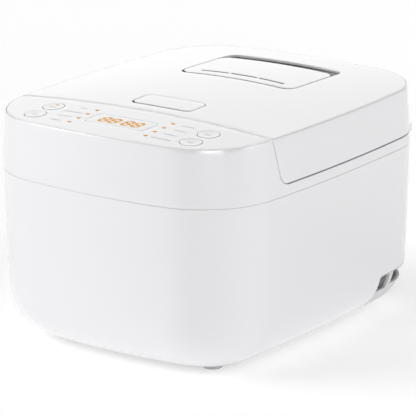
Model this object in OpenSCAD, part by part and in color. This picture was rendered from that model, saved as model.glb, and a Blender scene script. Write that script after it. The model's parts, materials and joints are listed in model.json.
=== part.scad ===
// Electronic rice cooker: a lower shell and an upper shell with a front console,
// a hinged lid with a lift-off steam cap, and a removable pot over a heating plate.
// The origin is at the middle of the footprint, on the surface the feet stand on.
// The front faces -Y, the hinge is at +Y and +Z is up. All sizes are in millimetres.

/* [Body outline] */
// Half of the width at the top rim
half_w = 121.5; // [120:0.5:123]
// Half of the depth at the top rim
half_d = 145.6; // [144:0.2:147]
// How far the front bulges in plan
front_bow = 16.1; // [14:0.1:18]
// How far each side bulges in plan
side_bow = 8; // [7:0.1:9]
// How far the back bulges in plan
rear_bow = 2; // [1.5:0.1:3]
// Radius of the front corners in plan
front_corner_r = 62; // [58:0.5:64]
// Radius of the rear corners in plan
rear_corner_r = 52; // [48:0.5:54]
// How far the walls widen from the rim down to the belt
flare = 2.1; // [1.5:0.1:2.5]
// How far the walls come in again from the belt down to the base
taper = 4; // [3:0.1:5]
// Width of the rounded bottom edge
bottom_round_w = 34.4; // [32:0.2:36]
// Height of the rounded bottom edge
bottom_round_h = 41.6; // [39:0.2:44]

/* [Heights] */
// Height of the feet
foot_h = 3.6; // [3:0.1:4]
// Seam between the lower and the upper shell
belt_z = 137.4; // [137:0.1:138]
// Middle of the gap under the lid
gap_z = 145.9; // [145.7:0.1:146.1]
// Top rim at the sides
rim_z = 183; // [182:0.5:185]
// Rise of the top from the sides to the middle
crown = 3.5; // [3:0.1:4]
// Extra rise of the lid at its centre
lid_dome = 2.5; // [2:0.1:3]
// Fall of the control panel towards the front, per millimetre
panel_slope = 0.045; // [0.03:0.005:0.05]

/* [Lid] */
// Line between the panel and the lid at the sides
divide_y = -79; // [-80:0.5:-78]
// How far that line runs back in the middle
divide_bow = 5.4; // [5:0.1:5.6]
// Lean of the lid's front edge, per millimetre of height
divide_slant = 0.24; // [0.22:0.01:0.25]
// Radius of the skirt's lower front corners
skirt_corner_r = 8; // [7:0.5:9]

/* [Controls] */
// Radius of the round keys
key_r = 8.8; // [8:0.1:9]
// Distance of the keys from the middle
key_x = 73.8; // [73:0.2:75]
// Travel of the keys
key_travel = 0.7; // [0.5:0.1:0.8]
// Width of the display window
window_w = 56; // [50:1:58]
// Depth of the display window
window_d = 21.5; // [20:0.5:22]
// Width of the lid release plate
release_w = 57; // [54:1:58]
// Depth of the lid release plate
release_d = 24.4; // [23:0.2:25]

/* [Cooking chamber] */
// Outer radius of the pot's wall
pot_r = 90.5; // [89:0.1:90.5]
// Wall thickness of the pot
pot_t = 1.8; // [1.5:0.1:2]
// Thickness of the moulded walls
wall = 2.6; // [2.4:0.1:2.8]

/* [Hidden] */
$fn = 64;

// Colours
white = "#f1f1f2";
grey_white = "#dcdcde";
dark = "#6f7072";
steel = "#c4c6c9";
orange = "#ef9a2a";
board_green = "#2f6b45";
rubber = "#3a3a3c";
silicone = "#e6e3dd";

// Clearances
seam = 0.4;           // half of the gap between lid and console
lid_wall = 2.5;       // lid skirt thickness
rim_w = 1.1;          // white rim round the top plates
plate_t = 2.05;       // thickness of the top plates
ledge = 2.2;          // depth of the ledge that carries them

// The outline is made of tangent arcs: front, corner, side, corner, back
function arc_radius(chord, rise) = (chord * chord + rise * rise) / (2 * rise);
front_r = arc_radius(half_w, front_bow);
side_r = arc_radius(half_d, side_bow);
rear_r = arc_radius(half_w, rear_bow);
front_c = [0, front_r - half_d];
side_c = [half_w - side_r, 0];
rear_c = [0, half_d - rear_r];

// Centre of a circle of radius r that lies inside and touches two circles
function corner_centre(p, pr, q, qr, r, side) =
  let (a = pr - r, b = qr - r, v = q - p, d = norm(v), e = v / d,
       along = (a * a - b * b + d * d) / (2 * d), across = sqrt(a * a - along * along))
  p + along * e + side * across * [-e[1], e[0]];
front_corner_c = corner_centre(front_c, front_r, side_c, side_r, front_corner_r, 1);
rear_corner_c = corner_centre(rear_c, rear_r, side_c, side_r, rear_corner_r, -1);
function heading(from, to) = atan2(to[1] - from[1], to[0] - from[0]);
front_a = heading(front_c, front_corner_c);
side_front_a = heading(side_c, front_corner_c);
side_rear_a = heading(side_c, rear_corner_c);
rear_a = heading(rear_c, rear_corner_c);

// Points along an arc, without its last point
function arc_points(c, r, a0, a1, n) =
  [for (i = [0 : n - 1]) let (a = a0 + (a1 - a0) * i / n) c + r * [cos(a), sin(a)]];
// Closes a right half that starts and ends on the middle plane
function both_sides(h) = concat(h, [for (i = [len(h) - 2 : -1 : 1]) [-h[i][0], h[i][1]]]);
function front_half(off) = concat(
  arc_points(front_c, front_r + off, -90, front_a, 4),
  arc_points(front_corner_c, front_corner_r + off, front_a, side_front_a, 8));
function rear_half(off) = concat(
  arc_points(side_c, side_r + off, 0, side_rear_a, 3),
  arc_points(rear_corner_c, rear_corner_r + off, side_rear_a, rear_a, 7),
  arc_points(rear_c, rear_r + off, rear_a, 90, 4), [[0, half_d + off]]);
// Whole outline, grown by off
function outline(off) = both_sides(concat(
  front_half(off), arc_points(side_c, side_r + off, side_front_a, 0, 3), rear_half(off)));

// The line between panel and lid, at half-width x and height z
function ease(t) = let (u = min(max(t, 0), 1)) u * u * (3 - 2 * u);
corner_z = gap_z + skirt_corner_r;
function corner_back(z) = z >= corner_z ? 0
  : skirt_corner_r - sqrt(max(0, pow(skirt_corner_r, 2) - pow(corner_z - z, 2)));
function divider_y(x, z) = divide_y + divide_bow * (1 - pow(x / half_w, 2))
  + divide_slant * (rim_z - z) + ease((abs(x) - 90) / 22) * corner_back(z);
function side_x(off, y) = side_c[0] + sqrt(pow(side_r + off, 2) - y * y);
divider_xs = [22, 44, 66, 84, 92, 99, 106, 113];
divider_n = len(divider_xs);
// Outline of the console, in front of the line, and of the lid, behind it
function front_loop(off, gap, z) =
  let (xe = side_x(off, divider_y(half_w, z) - gap))
  both_sides(concat(front_half(off),
    [side_c + (side_r + off) * [cos(side_front_a), sin(side_front_a)]],
    [[xe, divider_y(half_w, z) - gap]],
    [for (i = [divider_n - 1 : -1 : 0]) [divider_xs[i], divider_y(divider_xs[i], z) - gap]],
    [[0, divider_y(0, z) - gap]]));
function rear_loop(off, gap, z) =
  let (ye = divider_y(half_w, z) + gap)
  both_sides(concat(
    [for (x = concat([0], divider_xs)) [x, divider_y(x, z) + gap]],
    arc_points(side_c, side_r + off, asin(ye / (side_r + off)), 0, 3), rear_half(off)));

// How far the outer wall stands out from the rim's outline at height z
round_z = foot_h + bottom_round_h;
function round_in(z, w, h) = z >= round_z ? 0 : w * (1 - sqrt(max(0, 1 - pow((round_z - z) / h, 2))));
function wall_off(z) = z > gap_z ? flare * (rim_z - z) / (rim_z - gap_z)
  : z > belt_z ? flare
  : flare - taper * pow((belt_z - z) / (belt_z - foot_h), 1.4)
    - round_in(z, bottom_round_w, bottom_round_h);
// The same for the inside of a moulded wall
function inner_off(z) = flare - wall - taper * pow((belt_z - z) / (belt_z - foot_h), 1.4)
  - round_in(z, bottom_round_w - wall, bottom_round_h - wall);

// Height of the top surface at a point
lid_mid = (half_d + divide_y) / 2;
lid_half = (half_d - divide_y) / 2;
function top_z(p) = let (k = 1 - pow(p[0] / half_w, 2), v = (p[1] - lid_mid) / lid_half)
  rim_z + crown * k + (p[1] < divide_y ? panel_slope * (p[1] - divide_y)
    : lid_dome * k * max(0, 1 - v * v));
function lift(loop, z) = [for (p = loop) [p[0], p[1], z]];
function lift_to_top(loop, down) = [for (p = loop) [p[0], p[1], top_z(p) - down]];

// A ring-shaped solid whose section is a closed row of loops
module ring_solid(loops) {
  m = len(loops);
  n = len(loops[0]);
  polyhedron([for (l = loops) each l],
    [for (j = [0 : m - 1]) for (i = [0 : n - 1])
      let (a = j * n + i, b = j * n + (i + 1) % n, k = ((j + 1) % m) * n)
      each [[a, k + (i + 1) % n, b], [a, k + i, k + (i + 1) % n]]]);
}
// A solid skin of loops stacked from the bottom to the top, with flat ends
module stack_solid(loops) {
  m = len(loops);
  n = len(loops[0]);
  polyhedron([for (l = loops) each l], concat(
    [[for (i = [0 : n - 1]) i], [for (i = [n - 1 : -1 : 0]) (m - 1) * n + i]],
    [for (j = [0 : m - 2]) for (i = [0 : n - 1])
      let (a = j * n + i, b = j * n + (i + 1) % n)
      each [[a, b + n, b], [a, a + n, b + n]]]));
}
// A plate of thickness t that follows the top surface, its upper face down below it
module crowned_plate(loop, t, down = 0, centre = [0, 0], steps = [0.25, 0.5, 0.75, 1]) {
  n = len(loop);
  s = len(steps);
  function shrunk(k) = [for (p = loop) centre + k * (p - centre)];
  loops = concat([for (k = steps) lift_to_top(shrunk(k), down + t)],
    [for (i = [s - 1 : -1 : 0]) lift_to_top(shrunk(steps[i]), down)]);
  m = len(loops);
  c_low = m * n;
  polyhedron(concat([for (l = loops) each l],
      lift_to_top([centre], down + t), lift_to_top([centre], down)),
    concat(
      [for (i = [0 : n - 1]) [c_low, i, (i + 1) % n]],
      [for (i = [0 : n - 1]) [c_low + 1, (m - 1) * n + (i + 1) % n, (m - 1) * n + i]],
      [for (j = [0 : m - 2]) for (i = [0 : n - 1])
        let (a = j * n + i, b = j * n + (i + 1) % n)
        each [[a, b + n, b], [a, a + n, b + n]]]));
}
// Corners of a rounded rectangle
function rounded_rect(w, d, r, c = [0, 0], n = 5) = [for (q = [0 : 3]) for (i = [0 : n])
  let (a = 180 + 90 * q + 90 * i / n, sx = q == 1 || q == 2 ? 1 : -1, sy = q < 2 ? -1 : 1)
  c + [sx * (w / 2 - r) + r * cos(a), sy * (d / 2 - r) + r * sin(a)]];
module block(x, y, z) {
  translate([x[0], y[0], z[0]]) cube([x[1] - x[0], y[1] - y[0], z[1] - z[0]]);
}
module rod_x(x, y, z, r) {
  translate([x[0], y, z]) rotate([0, 90, 0]) cylinder(r = r, h = x[1] - x[0]);
}
module mirrored() {
  children();
  mirror([1, 0, 0]) children();
}
// A profile of [y, z] points extruded along x
module along_x(x, points) {
  translate([x[0], 0, 0]) rotate([90, 0, 90]) linear_extrude(x[1] - x[0]) polygon(points);
}
// A coil spring with open ends
module coil(r, wire_r, z0, z1, turns) {
  n = 12 * turns;
  ring_n = 6;
  pts = [for (i = [0 : n]) for (k = [0 : ring_n - 1])
    let (a = 30 * i, b = 360 * k / ring_n, q = r + wire_r * cos(b))
    [q * cos(a), q * sin(a), z0 + wire_r + (z1 - z0 - 2 * wire_r) * i / n + wire_r * sin(b)]];
  polyhedron(pts, concat(
    [[for (k = [0 : ring_n - 1]) k], [for (k = [ring_n - 1 : -1 : 0]) n * ring_n + k]],
    [for (i = [0 : n - 1]) for (k = [0 : ring_n - 1])
      let (a = i * ring_n + k, b = i * ring_n + (k + 1) % ring_n)
      each [[a, a + ring_n, b + ring_n], [a, b + ring_n, b]]]));
}
// A wire along a row of points, swept as rings square to its run
module wire(path, r) {
  m = len(path);
  ring_n = 8;
  function unit(v) = v / norm(v);
  pts = [for (i = [0 : m - 1]) let (
      t = unit(path[min(i + 1, m - 1)] - path[max(i - 1, 0)]),
      s = unit(cross(t, abs(t[2]) > 0.9 ? [0, 1, 0] : [0, 0, 1])), u = cross(t, s))
    for (k = [0 : ring_n - 1]) let (a = 360 * k / ring_n) path[i] + r * (cos(a) * s + sin(a) * u)];
  polyhedron(pts, concat(
    [[for (k = [0 : ring_n - 1]) k], [for (k = [ring_n - 1 : -1 : 0]) (m - 1) * ring_n + k]],
    [for (i = [0 : m - 2]) for (k = [0 : ring_n - 1])
      let (a = i * ring_n + k, b = i * ring_n + (k + 1) % ring_n)
      each [[a, a + ring_n, b + ring_n], [a, b + ring_n, b]]]));
}

// Where things are
pot_y = 34.5;                      // centre of the cooking chamber
hinge = [139, 150];                // y and z of the hinge axis
key_ys = [-97.6, -119.75];         // rear and front rows of keys
light_x = 36.2;                    // columns of indicator lights
light_y = -91.3;                   // rearmost light
light_pitch = 11.45;
window_y = -107.9;
release_y = -47.8;
button_axis = [-38.2, 183.4];      // y and z of the release plate's pivot
latch_axis = [-50, 168];           // y and z of the latch bar
hook_x = 58;                       // distance of the latch hooks from the middle
power_board_z = 20;
board_z = [170, 171.6];            // the control board
deck = [142.5, 145.3];             // under and upper face of the deck round the pot
cut_y = 70;                        // front end of the rear cut-out in the lower shell
cut_z = 38;                        // its upper edge
inlet_x = 64;
inlet = [[inlet_x - 14, inlet_x + 14], [114.5, 127.5], [14, 33]];
base_screw = [[50, -108], [86, 40]];
lid_screw = [[104, -46], [98, 100]];
arm_screw_y = [112, 124];

// Tilts a shape so that it stands square on the panel at a point
module on_panel(p) {
  translate([p[0], p[1], top_z(p)])
    rotate([atan(panel_slope), atan(2 * crown * p[0] / (half_w * half_w)), 0]) children();
}
module pot_space(r, z) {
  translate([0, pot_y, z[0]]) cylinder(r = r, h = z[1] - z[0], $fn = 96);
}
module turned(points) {
  translate([0, pot_y, 0]) rotate_extrude($fn = 96) polygon(points);
}

// The rear cut-out as a block, pulled in by gap
module rear_cut(gap) {
  r = 5;
  y0 = cut_y + gap;
  z1 = cut_z - gap;
  along_x([-140, 140], concat([[y0, -5]],
    [for (i = [0 : 5]) let (a = 180 - 18 * i) [y0 + r + r * cos(a), z1 - r + r * sin(a)]],
    [[180, z1], [180, -5]]));
}

module lower_shell() {
  lip_z = 8;
  outer = [lip_z, 10, 13, 17, 22, 28, 35, round_z, 60, 80, 110, belt_z - 0.2];
  inner = [belt_z - 0.2, 110, 60, round_z, 35, 26, 18, 12, lip_z];
  color(white) difference() {
    union() {
      ring_solid(concat([for (z = outer) lift(outline(wall_off(z)), z)],
        [for (z = inner) lift(outline(inner_off(z)), z)]));
      for (p = base_screw) mirrored()
        translate([p[0], p[1], lip_z]) cylinder(r = 4.5, h = 12);
      mirrored() block([48.8, 51.2], [-122, -108], [lip_z, 20]);
      mirrored() block([86, 99.5], [38.8, 41.2], [lip_z, 20]);
    }
    for (p = base_screw) mirrored()
      translate([p[0], p[1], lip_z - 1]) cylinder(r = 1.3, h = 12);
    rear_cut(0);
  }
}

// Openings in the base's rear wall, for the right side
module rear_windows() {
  block([95, 140], [71.8, 84.6], [24, 37]);
  block([100, 140], [94, 160], [26, 37]);
}

module base_tray() {
  top = 7.85;
  skin = [foot_h, 5, 6.4, top];
  wall_z = [7, 12, 17, 22, 28, 33, 37.6];
  color(grey_white) difference() {
    union() {
      stack_solid([for (z = skin) lift(outline(wall_off(z) - 0.1), z)]);
      intersection() {
        ring_solid(concat([for (z = wall_z) lift(outline(wall_off(z)), z)],
          [for (i = [len(wall_z) - 1 : -1 : 0])
            lift(outline(inner_off(max(wall_z[i], 8)) - 0.2), wall_z[i])]));
        rear_cut(0.3);
      }
      for (x = [-40, 40], y = [-110, -72]) translate([x, y, top - 1])
        cylinder(r = 3, h = power_board_z + 1 - top);
      for (a = [45 : 90 : 315]) translate([83 * cos(a), pot_y + 83 * sin(a), top - 1])
        cylinder(r = 4, h = 25 - top);
    }
    mirrored() rear_windows();
    block(inlet[0] + [-0.3, 0.3], [100, 160], inlet[2] + [-0.3, 0.3]);
    for (i = [0 : 5]) block([-60 + 8 * i, -56 + 8 * i], [110, 160], [18, 33]);
    for (p = foot_places()) translate([p[0], p[1], 0]) cylinder(r = 6, h = foot_h + 1);
    for (p = base_screw) mirrored() translate([p[0], p[1], 0]) {
      cylinder(r = 1.6, h = 12);
      cylinder(r = 3.1, h = 6.4);
    }
    for (i = [-3 : 3]) block([-30, 30], [20 + 9 * i, 24 + 9 * i], [0, 12]);
  }
}

function foot_places() = [[72, -92], [-72, -92], [68, 94], [-68, 94]];
module rubber_feet() {
  color(grey_white) for (p = foot_places()) translate([p[0], p[1], 0]) {
    translate([0, 0, 1]) cylinder(r = 8.5, h = foot_h - 1);
    cylinder(r1 = 7.6, r2 = 8.5, h = 1);
    cylinder(r = 5.9, h = foot_h + 0.9);
  }
}

module base_screws() {
  color(steel) for (p = base_screw) mirrored() translate([p[0], p[1], 0]) difference() {
    union() {
      translate([0, 0, 4.3]) cylinder(r = 2.8, h = 2.1);
      translate([0, 0, 6]) cylinder(r = 1.25, h = 10);
    }
    translate([0, 0, 4]) cylinder(r = 1.4, h = 1.5, $fn = 6);
  }
}

// Dark screens behind the rear corner windows
module vent_screens() {
  z = [20, 28, 37];
  module strip(gap, t, z) {
    ring_solid(concat([for (h = z) lift(outline(inner_off(h) - gap), h)],
      [for (i = [len(z) - 1 : -1 : 0]) lift(outline(inner_off(z[i]) - gap - t), z[i])]));
  }
  color(dark) intersection() {
    union() {
      strip(5, 1.6, z);
      intersection() {
        strip(0.3, 5.5, z);
        mirrored() block([80, 140], [87, 92], [0, 60]);
      }
    }
    mirrored() block([85, 140], [66, 160], [0, 60]);
  }
}

// The space the lid's rear edge swings through
// The channel across the back that the lid's rear edge turns in, open to the rear
trough_r = 9.8;
trough_x = 99;
module hinge_trough() {
  rod_x([-trough_x, trough_x], hinge[0], hinge[1], trough_r);
  block([-trough_x, trough_x], [hinge[0], 160], [hinge[1] - trough_r - 0.2, 200]);
}

module upper_shell() {
  spigot = 131;
  belt = [belt_z + 0.3, deck[1]];
  color(white) difference() {
    union() {
      translate([0, 0, belt[0]]) linear_extrude(belt[1] - belt[0]) polygon(outline(flare));
      translate([0, 0, spigot]) linear_extrude(belt[0] - spigot + 1) polygon(outline(-0.8));
    }
    difference() {
      translate([0, 0, spigot - 1]) linear_extrude(deck[0] - spigot + 1) polygon(outline(-wall));
      rod_x([-trough_x - 2, trough_x + 2], hinge[0], hinge[1], trough_r + 2);
    }
    pot_space(93, [deck[0] - 1, deck[1] + 1]);
    hinge_trough();
    mirrored() block([hook_x - 4, hook_x + 4], [-60, -43], [deck[0] - 1, deck[1] + 1]);
    translate([0, 0, deck[0] - 1]) linear_extrude(deck[1] - deck[0] + 2)
      polygon(front_loop(-6, 8, 145));
  }
}

// A wall that follows the console's outline, t inside its outer face
function console_loop(t, z) = lift(front_loop(wall_off(z) - t, seam + t, z), z);
function console_top(t, down) = lift_to_top(front_loop(-t, seam + t, rim_z), down);
module console_housing() {
  foot = deck[1] + 0.05;
  t = wall + 0.2;
  color(white) ring_solid(concat(
    [for (z = [foot, 146.4, 148, 150.5, corner_z, 168]) console_loop(0, z)],
    [console_top(0, 0), console_top(rim_w, 0), console_top(rim_w, ledge), console_top(t, ledge)],
    [for (z = [168, corner_z, 150.5, 148, foot]) console_loop(t, z)]));
}

module key_holes() {
  for (x = [-key_x, key_x], y = key_ys) on_panel([x, y]) translate([0, 0, -4])
    cylinder(r = key_r, h = 8);
}
function light_places() = [for (s = [-1, 1]) for (i = [0 : 3]) [s * light_x, light_y - light_pitch * i]];
module light_shape(p, z) {
  translate([0, 0, z[0]]) linear_extrude(z[1] - z[0]) polygon(rounded_rect(2.8, 1.5, 0.6, p, 3));
}

module control_panel() {
  color(white) union() {
    difference() {
      crowned_plate(front_loop(-rim_w - 0.2, seam + rim_w + 0.2, rim_z), plate_t,
        centre = [0, -108]);
      key_holes();
      for (p = light_places()) light_shape(p, [170, 192]);
      translate([0, 0, 170]) linear_extrude(25)
        polygon(rounded_rect(window_w + 0.3, window_d + 0.3, 4.15, [0, window_y]));
    }
    for (x = [-55, 55], y = [-92, -121]) let (p = [x, y])
      translate([x, y, board_z[1]]) cylinder(r = 3, h = top_z(p) - board_z[1] - 1);
  }
}

module display_lens() {
  color(grey_white) crowned_plate(rounded_rect(window_w, window_d, 4, [0, window_y]), 1.6,
    centre = [0, window_y], steps = [0.5, 1]);
}

// Seven-segment digits: each segment is a flat bar with pointed ends
digit_w = 5.6;
digit_h = 9.6;
digit_pitch = 8.6;
module segment(c, len, upright) {
  w = 0.55;
  h = len / 2 - 0.25;
  pts = [[-h, 0], [-h + w, -w], [h - w, -w], [h, 0], [h - w, w], [-h + w, w]];
  translate(c) rotate(upright ? 90 : 0) polygon(pts);
}
module digit() {
  for (s = [-1, 0, 1]) segment([0, s * digit_h / 2], digit_w, false);
  for (x = [-1, 1], y = [-1, 1]) segment([x * digit_w / 2, y * digit_h / 4], digit_h / 2, true);
}
module display_digits() {
  color(orange) on_panel([0, window_y]) translate([0, 0, -2.4]) linear_extrude(0.4) {
    for (i = [-1.5 : 1 : 1.5]) translate([i * digit_pitch, 0]) digit();
    for (y = [-2, 2]) translate([0, y]) circle(r = 0.6, $fn = 16);
  }
}
module display_module() {
  color("#e9e9ea") on_panel([0, window_y]) block([-24, 24], [-9, 9], [-13, -2.4]);
}
module indicator_lights() {
  color(orange) for (p = light_places()) light_shape(p, [board_z[1], top_z(p) + 0.05]);
}

// A round key: a cap with a retaining flange under the panel and a stem to its switch
switch_top = board_z[1] + 2.2;
module key(p) {
  stem_z = switch_top + key_travel + 0.05;
  color(white) {
    on_panel(p) {
      translate([0, 0, -2.6]) cylinder(r = key_r - 0.25, h = 2.8);
      translate([0, 0, -3.2]) cylinder(r = key_r + 0.9, h = 1);
    }
    translate([p[0], p[1], stem_z]) cylinder(r = 2, h = top_z(p) - 3 - stem_z);
  }
}
lamp_place = [-key_x, key_ys[0] + 6.9];
module key_left_rear() {
  color(white) difference() {
    key([-key_x, key_ys[0]]);
    light_shape(lamp_place, [top_z(lamp_place) - 0.8, 192]);
  }
}
module key_left_front() { key([-key_x, key_ys[1]]); }
module key_right_rear() { key([key_x, key_ys[0]]); }
module key_right_front() { key([key_x, key_ys[1]]); }
module key_lamp() {
  color(orange) light_shape(lamp_place, [top_z(lamp_place) - 0.8, top_z(lamp_place) + 0.25]);
}

module control_board() {
  color(board_green) block([-84, 84], [-127, -86], board_z);
}
module key_switches() {
  color(dark) for (x = [-key_x, key_x], y = key_ys) translate([x, y, board_z[1]]) {
    translate([-3, -3, 0]) cube([6, 6, 1.6]);
    cylinder(r = 1.6, h = switch_top - board_z[1]);
  }
}

module power_board() {
  color(board_green) block([-62, 62], [-116, -66], [power_board_z, power_board_z + 1.6]);
}
module transformer() {
  z = power_board_z + 1.6;
  color("#d9b23c") block([-50, -18], [-110, -84], [z + 4, z + 26]);
  color(dark) block([-54, -14], [-104, -90], [z, z + 4]);
}
module relay() {
  z = power_board_z + 1.6;
  color("#2a4d9b") block([28, 48], [-110, -94], [z, z + 16]);
  color("#2a4d9b") block([28, 48], [-90, -74], [z, z + 16]);
}
module capacitors() {
  z = power_board_z + 1.6;
  color(dark) for (p = [[0, -104], [0, -88], [14, -96]]) translate([p[0], p[1], z])
    cylinder(r = p[0] == 14 ? 5 : 7, h = 24);
}

module power_inlet() {
  color(dark) difference() {
    block(inlet[0], inlet[1], inlet[2]);
    block(inlet[0] + [2, -2], inlet[1] + [1.5, 1], inlet[2] + [2, -2]);
  }
}
module inlet_pins() {
  z = 23.5;
  color(steel) for (q = [[-7, -1.5], [7, -1.5], [0, 2]])
    block([inlet_x + q[0] - 1, inlet_x + q[0] + 1], inlet[1] + [1.5, -6.5],
      [z + q[1] - 2, z + q[1] + 2]);
}

module internal_wiring() {
  color("#b5412f") wire([[60, 112.9, 22], [61, 110, 18], [68, 105, 11.5], [76, 92, 9.6],
    [75, 60, 9.6], [73, 20, 9.6], [73, -20, 9.6], [68, -46, 12], [62, -57, 21],
    [57, -64, 24.8], [53, -71, 24.2]], 1.3);
  color("#3b3b3d") wire([[68, 112.9, 22], [69, 110, 18], [74, 105, 11.5], [79.5, 92, 9.6],
    [79, 60, 9.6], [77, 20, 9.6], [77, -20, 9.6], [72, -48, 12], [67, -60, 21],
    [61, -70, 24.8], [56, -78, 24.2]], 1.3);
  color("#e8e8e8") wire([[-40, -118, 24], [-44, -122, 40], [-48, -126, 80], [-48, -126, 130],
    [-46, -118, 155], [-44, -110, board_z[0] + 0.4]], 1.8);
}

liner_in = pot_r + 1.3;
module inner_liner() {
  color(steel) turned([[74, 24], [liner_in + 1, 24], [liner_in + 1, 145.2], [liner_in, 145.2],
    [liner_in, 25], [74, 25]]);
}
module trim_ring() {
  color(grey_white) turned([[liner_in, deck[1]], [95.6, deck[1]], [95.6, 146.2], [95, 146.8],
    [liner_in + 0.3, 146.8], [liner_in, 146.4]]);
}
module heating_plate() {
  color(steel) turned([[17, 28], [76, 28], [76, 25], [80, 25], [80, 32.4], [79, 33], [18, 33],
    [17, 32.4]]);
}
element_r = 55;
module heating_element() {
  color("#8b8d90") translate([0, pot_y, 24.35]) rotate_extrude($fn = 96)
    translate([element_r, 0]) circle(r = 3.6, $fn = 24);
}
module heater_terminals() {
  for (x = [-7, 7]) translate([x, pot_y - sqrt(element_r * element_r - x * x), 0]) {
    color("#efe9dc") translate([0, 0, 14]) cylinder(r = 3.4, h = 6.7);
    color(steel) translate([-2.4, -0.5, 9]) cube([4.8, 1, 5]);
  }
}
module thermal_fuse() {
  color(steel) {
    rod_x([-40, -24], pot_y + 26, 25, 2.5);
    block([-36, -28], [pot_y + 22, pot_y + 30], [27.4, 28]);
  }
}
module warming_band() {
  color("#a8553a") turned([[liner_in + 1.1, 70], [liner_in + 2, 70], [liner_in + 2, 92],
    [liner_in + 1.1, 92]]);
}
module sensor_holder() {
  color(dark) turned([[5.3, 8], [22, 8], [22, 10], [9, 10], [9, 17], [5.3, 17]]);
}
module sensor_plunger() {
  color(steel) turned([[0, 12], [5, 12], [5, 27.5], [14, 27.5], [14, 32.3], [13.4, 32.9],
    [0, 32.9]]);
}
module sensor_spring() {
  color(steel) translate([0, pot_y, 0]) coil(7, 0.5, 17.05, 27.4, 5);
}

pot_floor = 33;
pot_rim = 148.5;
module inner_pot() {
  r = 18;
  q = pot_r - r;
  color("#57585b") turned(concat([[0, pot_floor], [q, pot_floor]],
    [for (i = [1 : 6]) let (a = -90 + 15 * i) [q + r * cos(a), pot_floor + r + r * sin(a)]],
    [[pot_r, pot_rim - 1.6], [95, pot_rim - 1.6], [95, pot_rim], [pot_r - pot_t, pot_rim]],
    [for (i = [6 : -1 : 1]) let (a = -90 + 15 * i)
      [q + (r - pot_t) * cos(a), pot_floor + r + (r - pot_t) * sin(a)]],
    [[q, pot_floor + pot_t], [0, pot_floor + pot_t]]));
}

// Hinge: two brackets on the deck hold a pin, and two arms on the lid turn on it
pin_r = 2;
module hinge_brackets() {
  color(steel) mirrored() difference() {
    union() {
      rod_x([56, 64], hinge[0], hinge[1], 4.6);
      along_x([56, 64], [[114, deck[1]], [130, deck[1]], [135, 146.9], [hinge[0], 145.4],
        [hinge[0], 154.4], [135, 152.1], [128, 148.2], [126, 147.3], [114, 147.3]]);
    }
    rod_x([50, 70], hinge[0], hinge[1], pin_r);
    translate([60, 120, deck[1] - 1]) cylinder(r = 1.7, h = 5);
  }
}
module hinge_pin() {
  color(steel) rod_x([-74, 74], hinge[0], hinge[1], pin_r);
}
module strike_plates() {
  color(steel) mirrored() difference() {
    block([hook_x - 9, hook_x + 9], [-62.4, -46], [deck[0] - 1, deck[0]]);
    block([hook_x - 4, hook_x + 4], [-57.3, -45], [deck[0] - 2, deck[0] + 1]);
  }
}

function skirt_loop(t, z) = rear_loop(wall_off(z) - t, seam + t, z);
function skirt_top(t, down) = lift_to_top(rear_loop(-t, seam + t, rim_z), down);
liner_z = [149.2, 151.2];

module lid_shell() {
  z_up = [146.5, 147.2, 148.5, 150.5, corner_z, 165];
  z_down = [165, corner_z, 150.5, 148.5, 146.5];
  apron_out = 8;
  apron_in = 5.9;
  apron_end = -50;
  apron = concat([for (i = [0 : 5]) let (a = apron_end + 10 * i)
      [hinge[0] + apron_out * cos(a), hinge[1] + apron_out * sin(a)]],
    [[hinge[0] + apron_out, hinge[1] + 1], [hinge[0] + apron_in, hinge[1] + 1]],
    [for (i = [5 : -1 : 0]) let (a = apron_end + 10 * i)
      [hinge[0] + apron_in * cos(a), hinge[1] + apron_in * sin(a)]]);
  color(white) difference() {
    union() {
      ring_solid(concat([for (z = z_up) lift(skirt_loop(0, z), z)],
        [skirt_top(0, 0), skirt_top(rim_w, 0), skirt_top(rim_w, ledge),
         skirt_top(lid_wall, ledge)],
        [for (z = z_down) lift(skirt_loop(lid_wall, z), z)]));
      intersection() {
        along_x([-98, 98], apron);
        translate([0, 0, 140]) linear_extrude(12) polygon(outline(1.4));
      }
      for (p = lid_screw) mirrored() translate([p[0], p[1], liner_z[1]]) difference() {
        cylinder(r = 4, h = 12);
        translate([0, 0, -1]) cylinder(r = 1.2, h = 10);
      }
      for (p = lid_screw) mirrored()
        block([p[0], p[1] < 0 ? 121 : 118], [p[1] - 1, p[1] + 1], [liner_z[1], 161]);
    }
    for (p = lid_screw) mirrored() translate([p[0], p[1], liner_z[1] - 1]) cylinder(r = 1.2, h = 10);
  }
}

// The steam cap's opening: front and back edges are arcs that bulge to the rear
vent_hw = 55;
vent_bow = 2.6;
function vent_loop(g, y0, y1, r = 9) =
  let (hw = vent_hw + g, x = hw - r, n = 8, e = function (y, q) y + vent_bow * (1 - pow(q / hw, 2)))
  concat(
    [for (i = [0 : n]) let (q = x * (2 * i / n - 1)) [q, e(y0 - g, q)]],
    [for (i = [1 : 4]) let (a = -90 + 18 * i) [x + r * cos(a), e(y0 - g, x) + r + r * sin(a)]],
    [for (i = [1 : 4]) let (a = 18 * i) [x + r * cos(a), e(y1 + g, x) - r + r * sin(a)]],
    [for (i = [0 : n]) let (q = x * (1 - 2 * i / n)) [q, e(y1 + g, q)]],
    [for (i = [1 : 4]) let (a = 90 + 18 * i) [-x + r * cos(a), e(y1 + g, x) - r + r * sin(a)]],
    [for (i = [1 : 4]) let (a = 180 + 18 * i) [-x + r * cos(a), e(y0 - g, x) + r + r * sin(a)]]);
vent_y = [36.3, 112.4];            // front and rear edges of the opening at its ends
cover_rear = 100.9;                // rear edge of the cover at its ends

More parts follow.
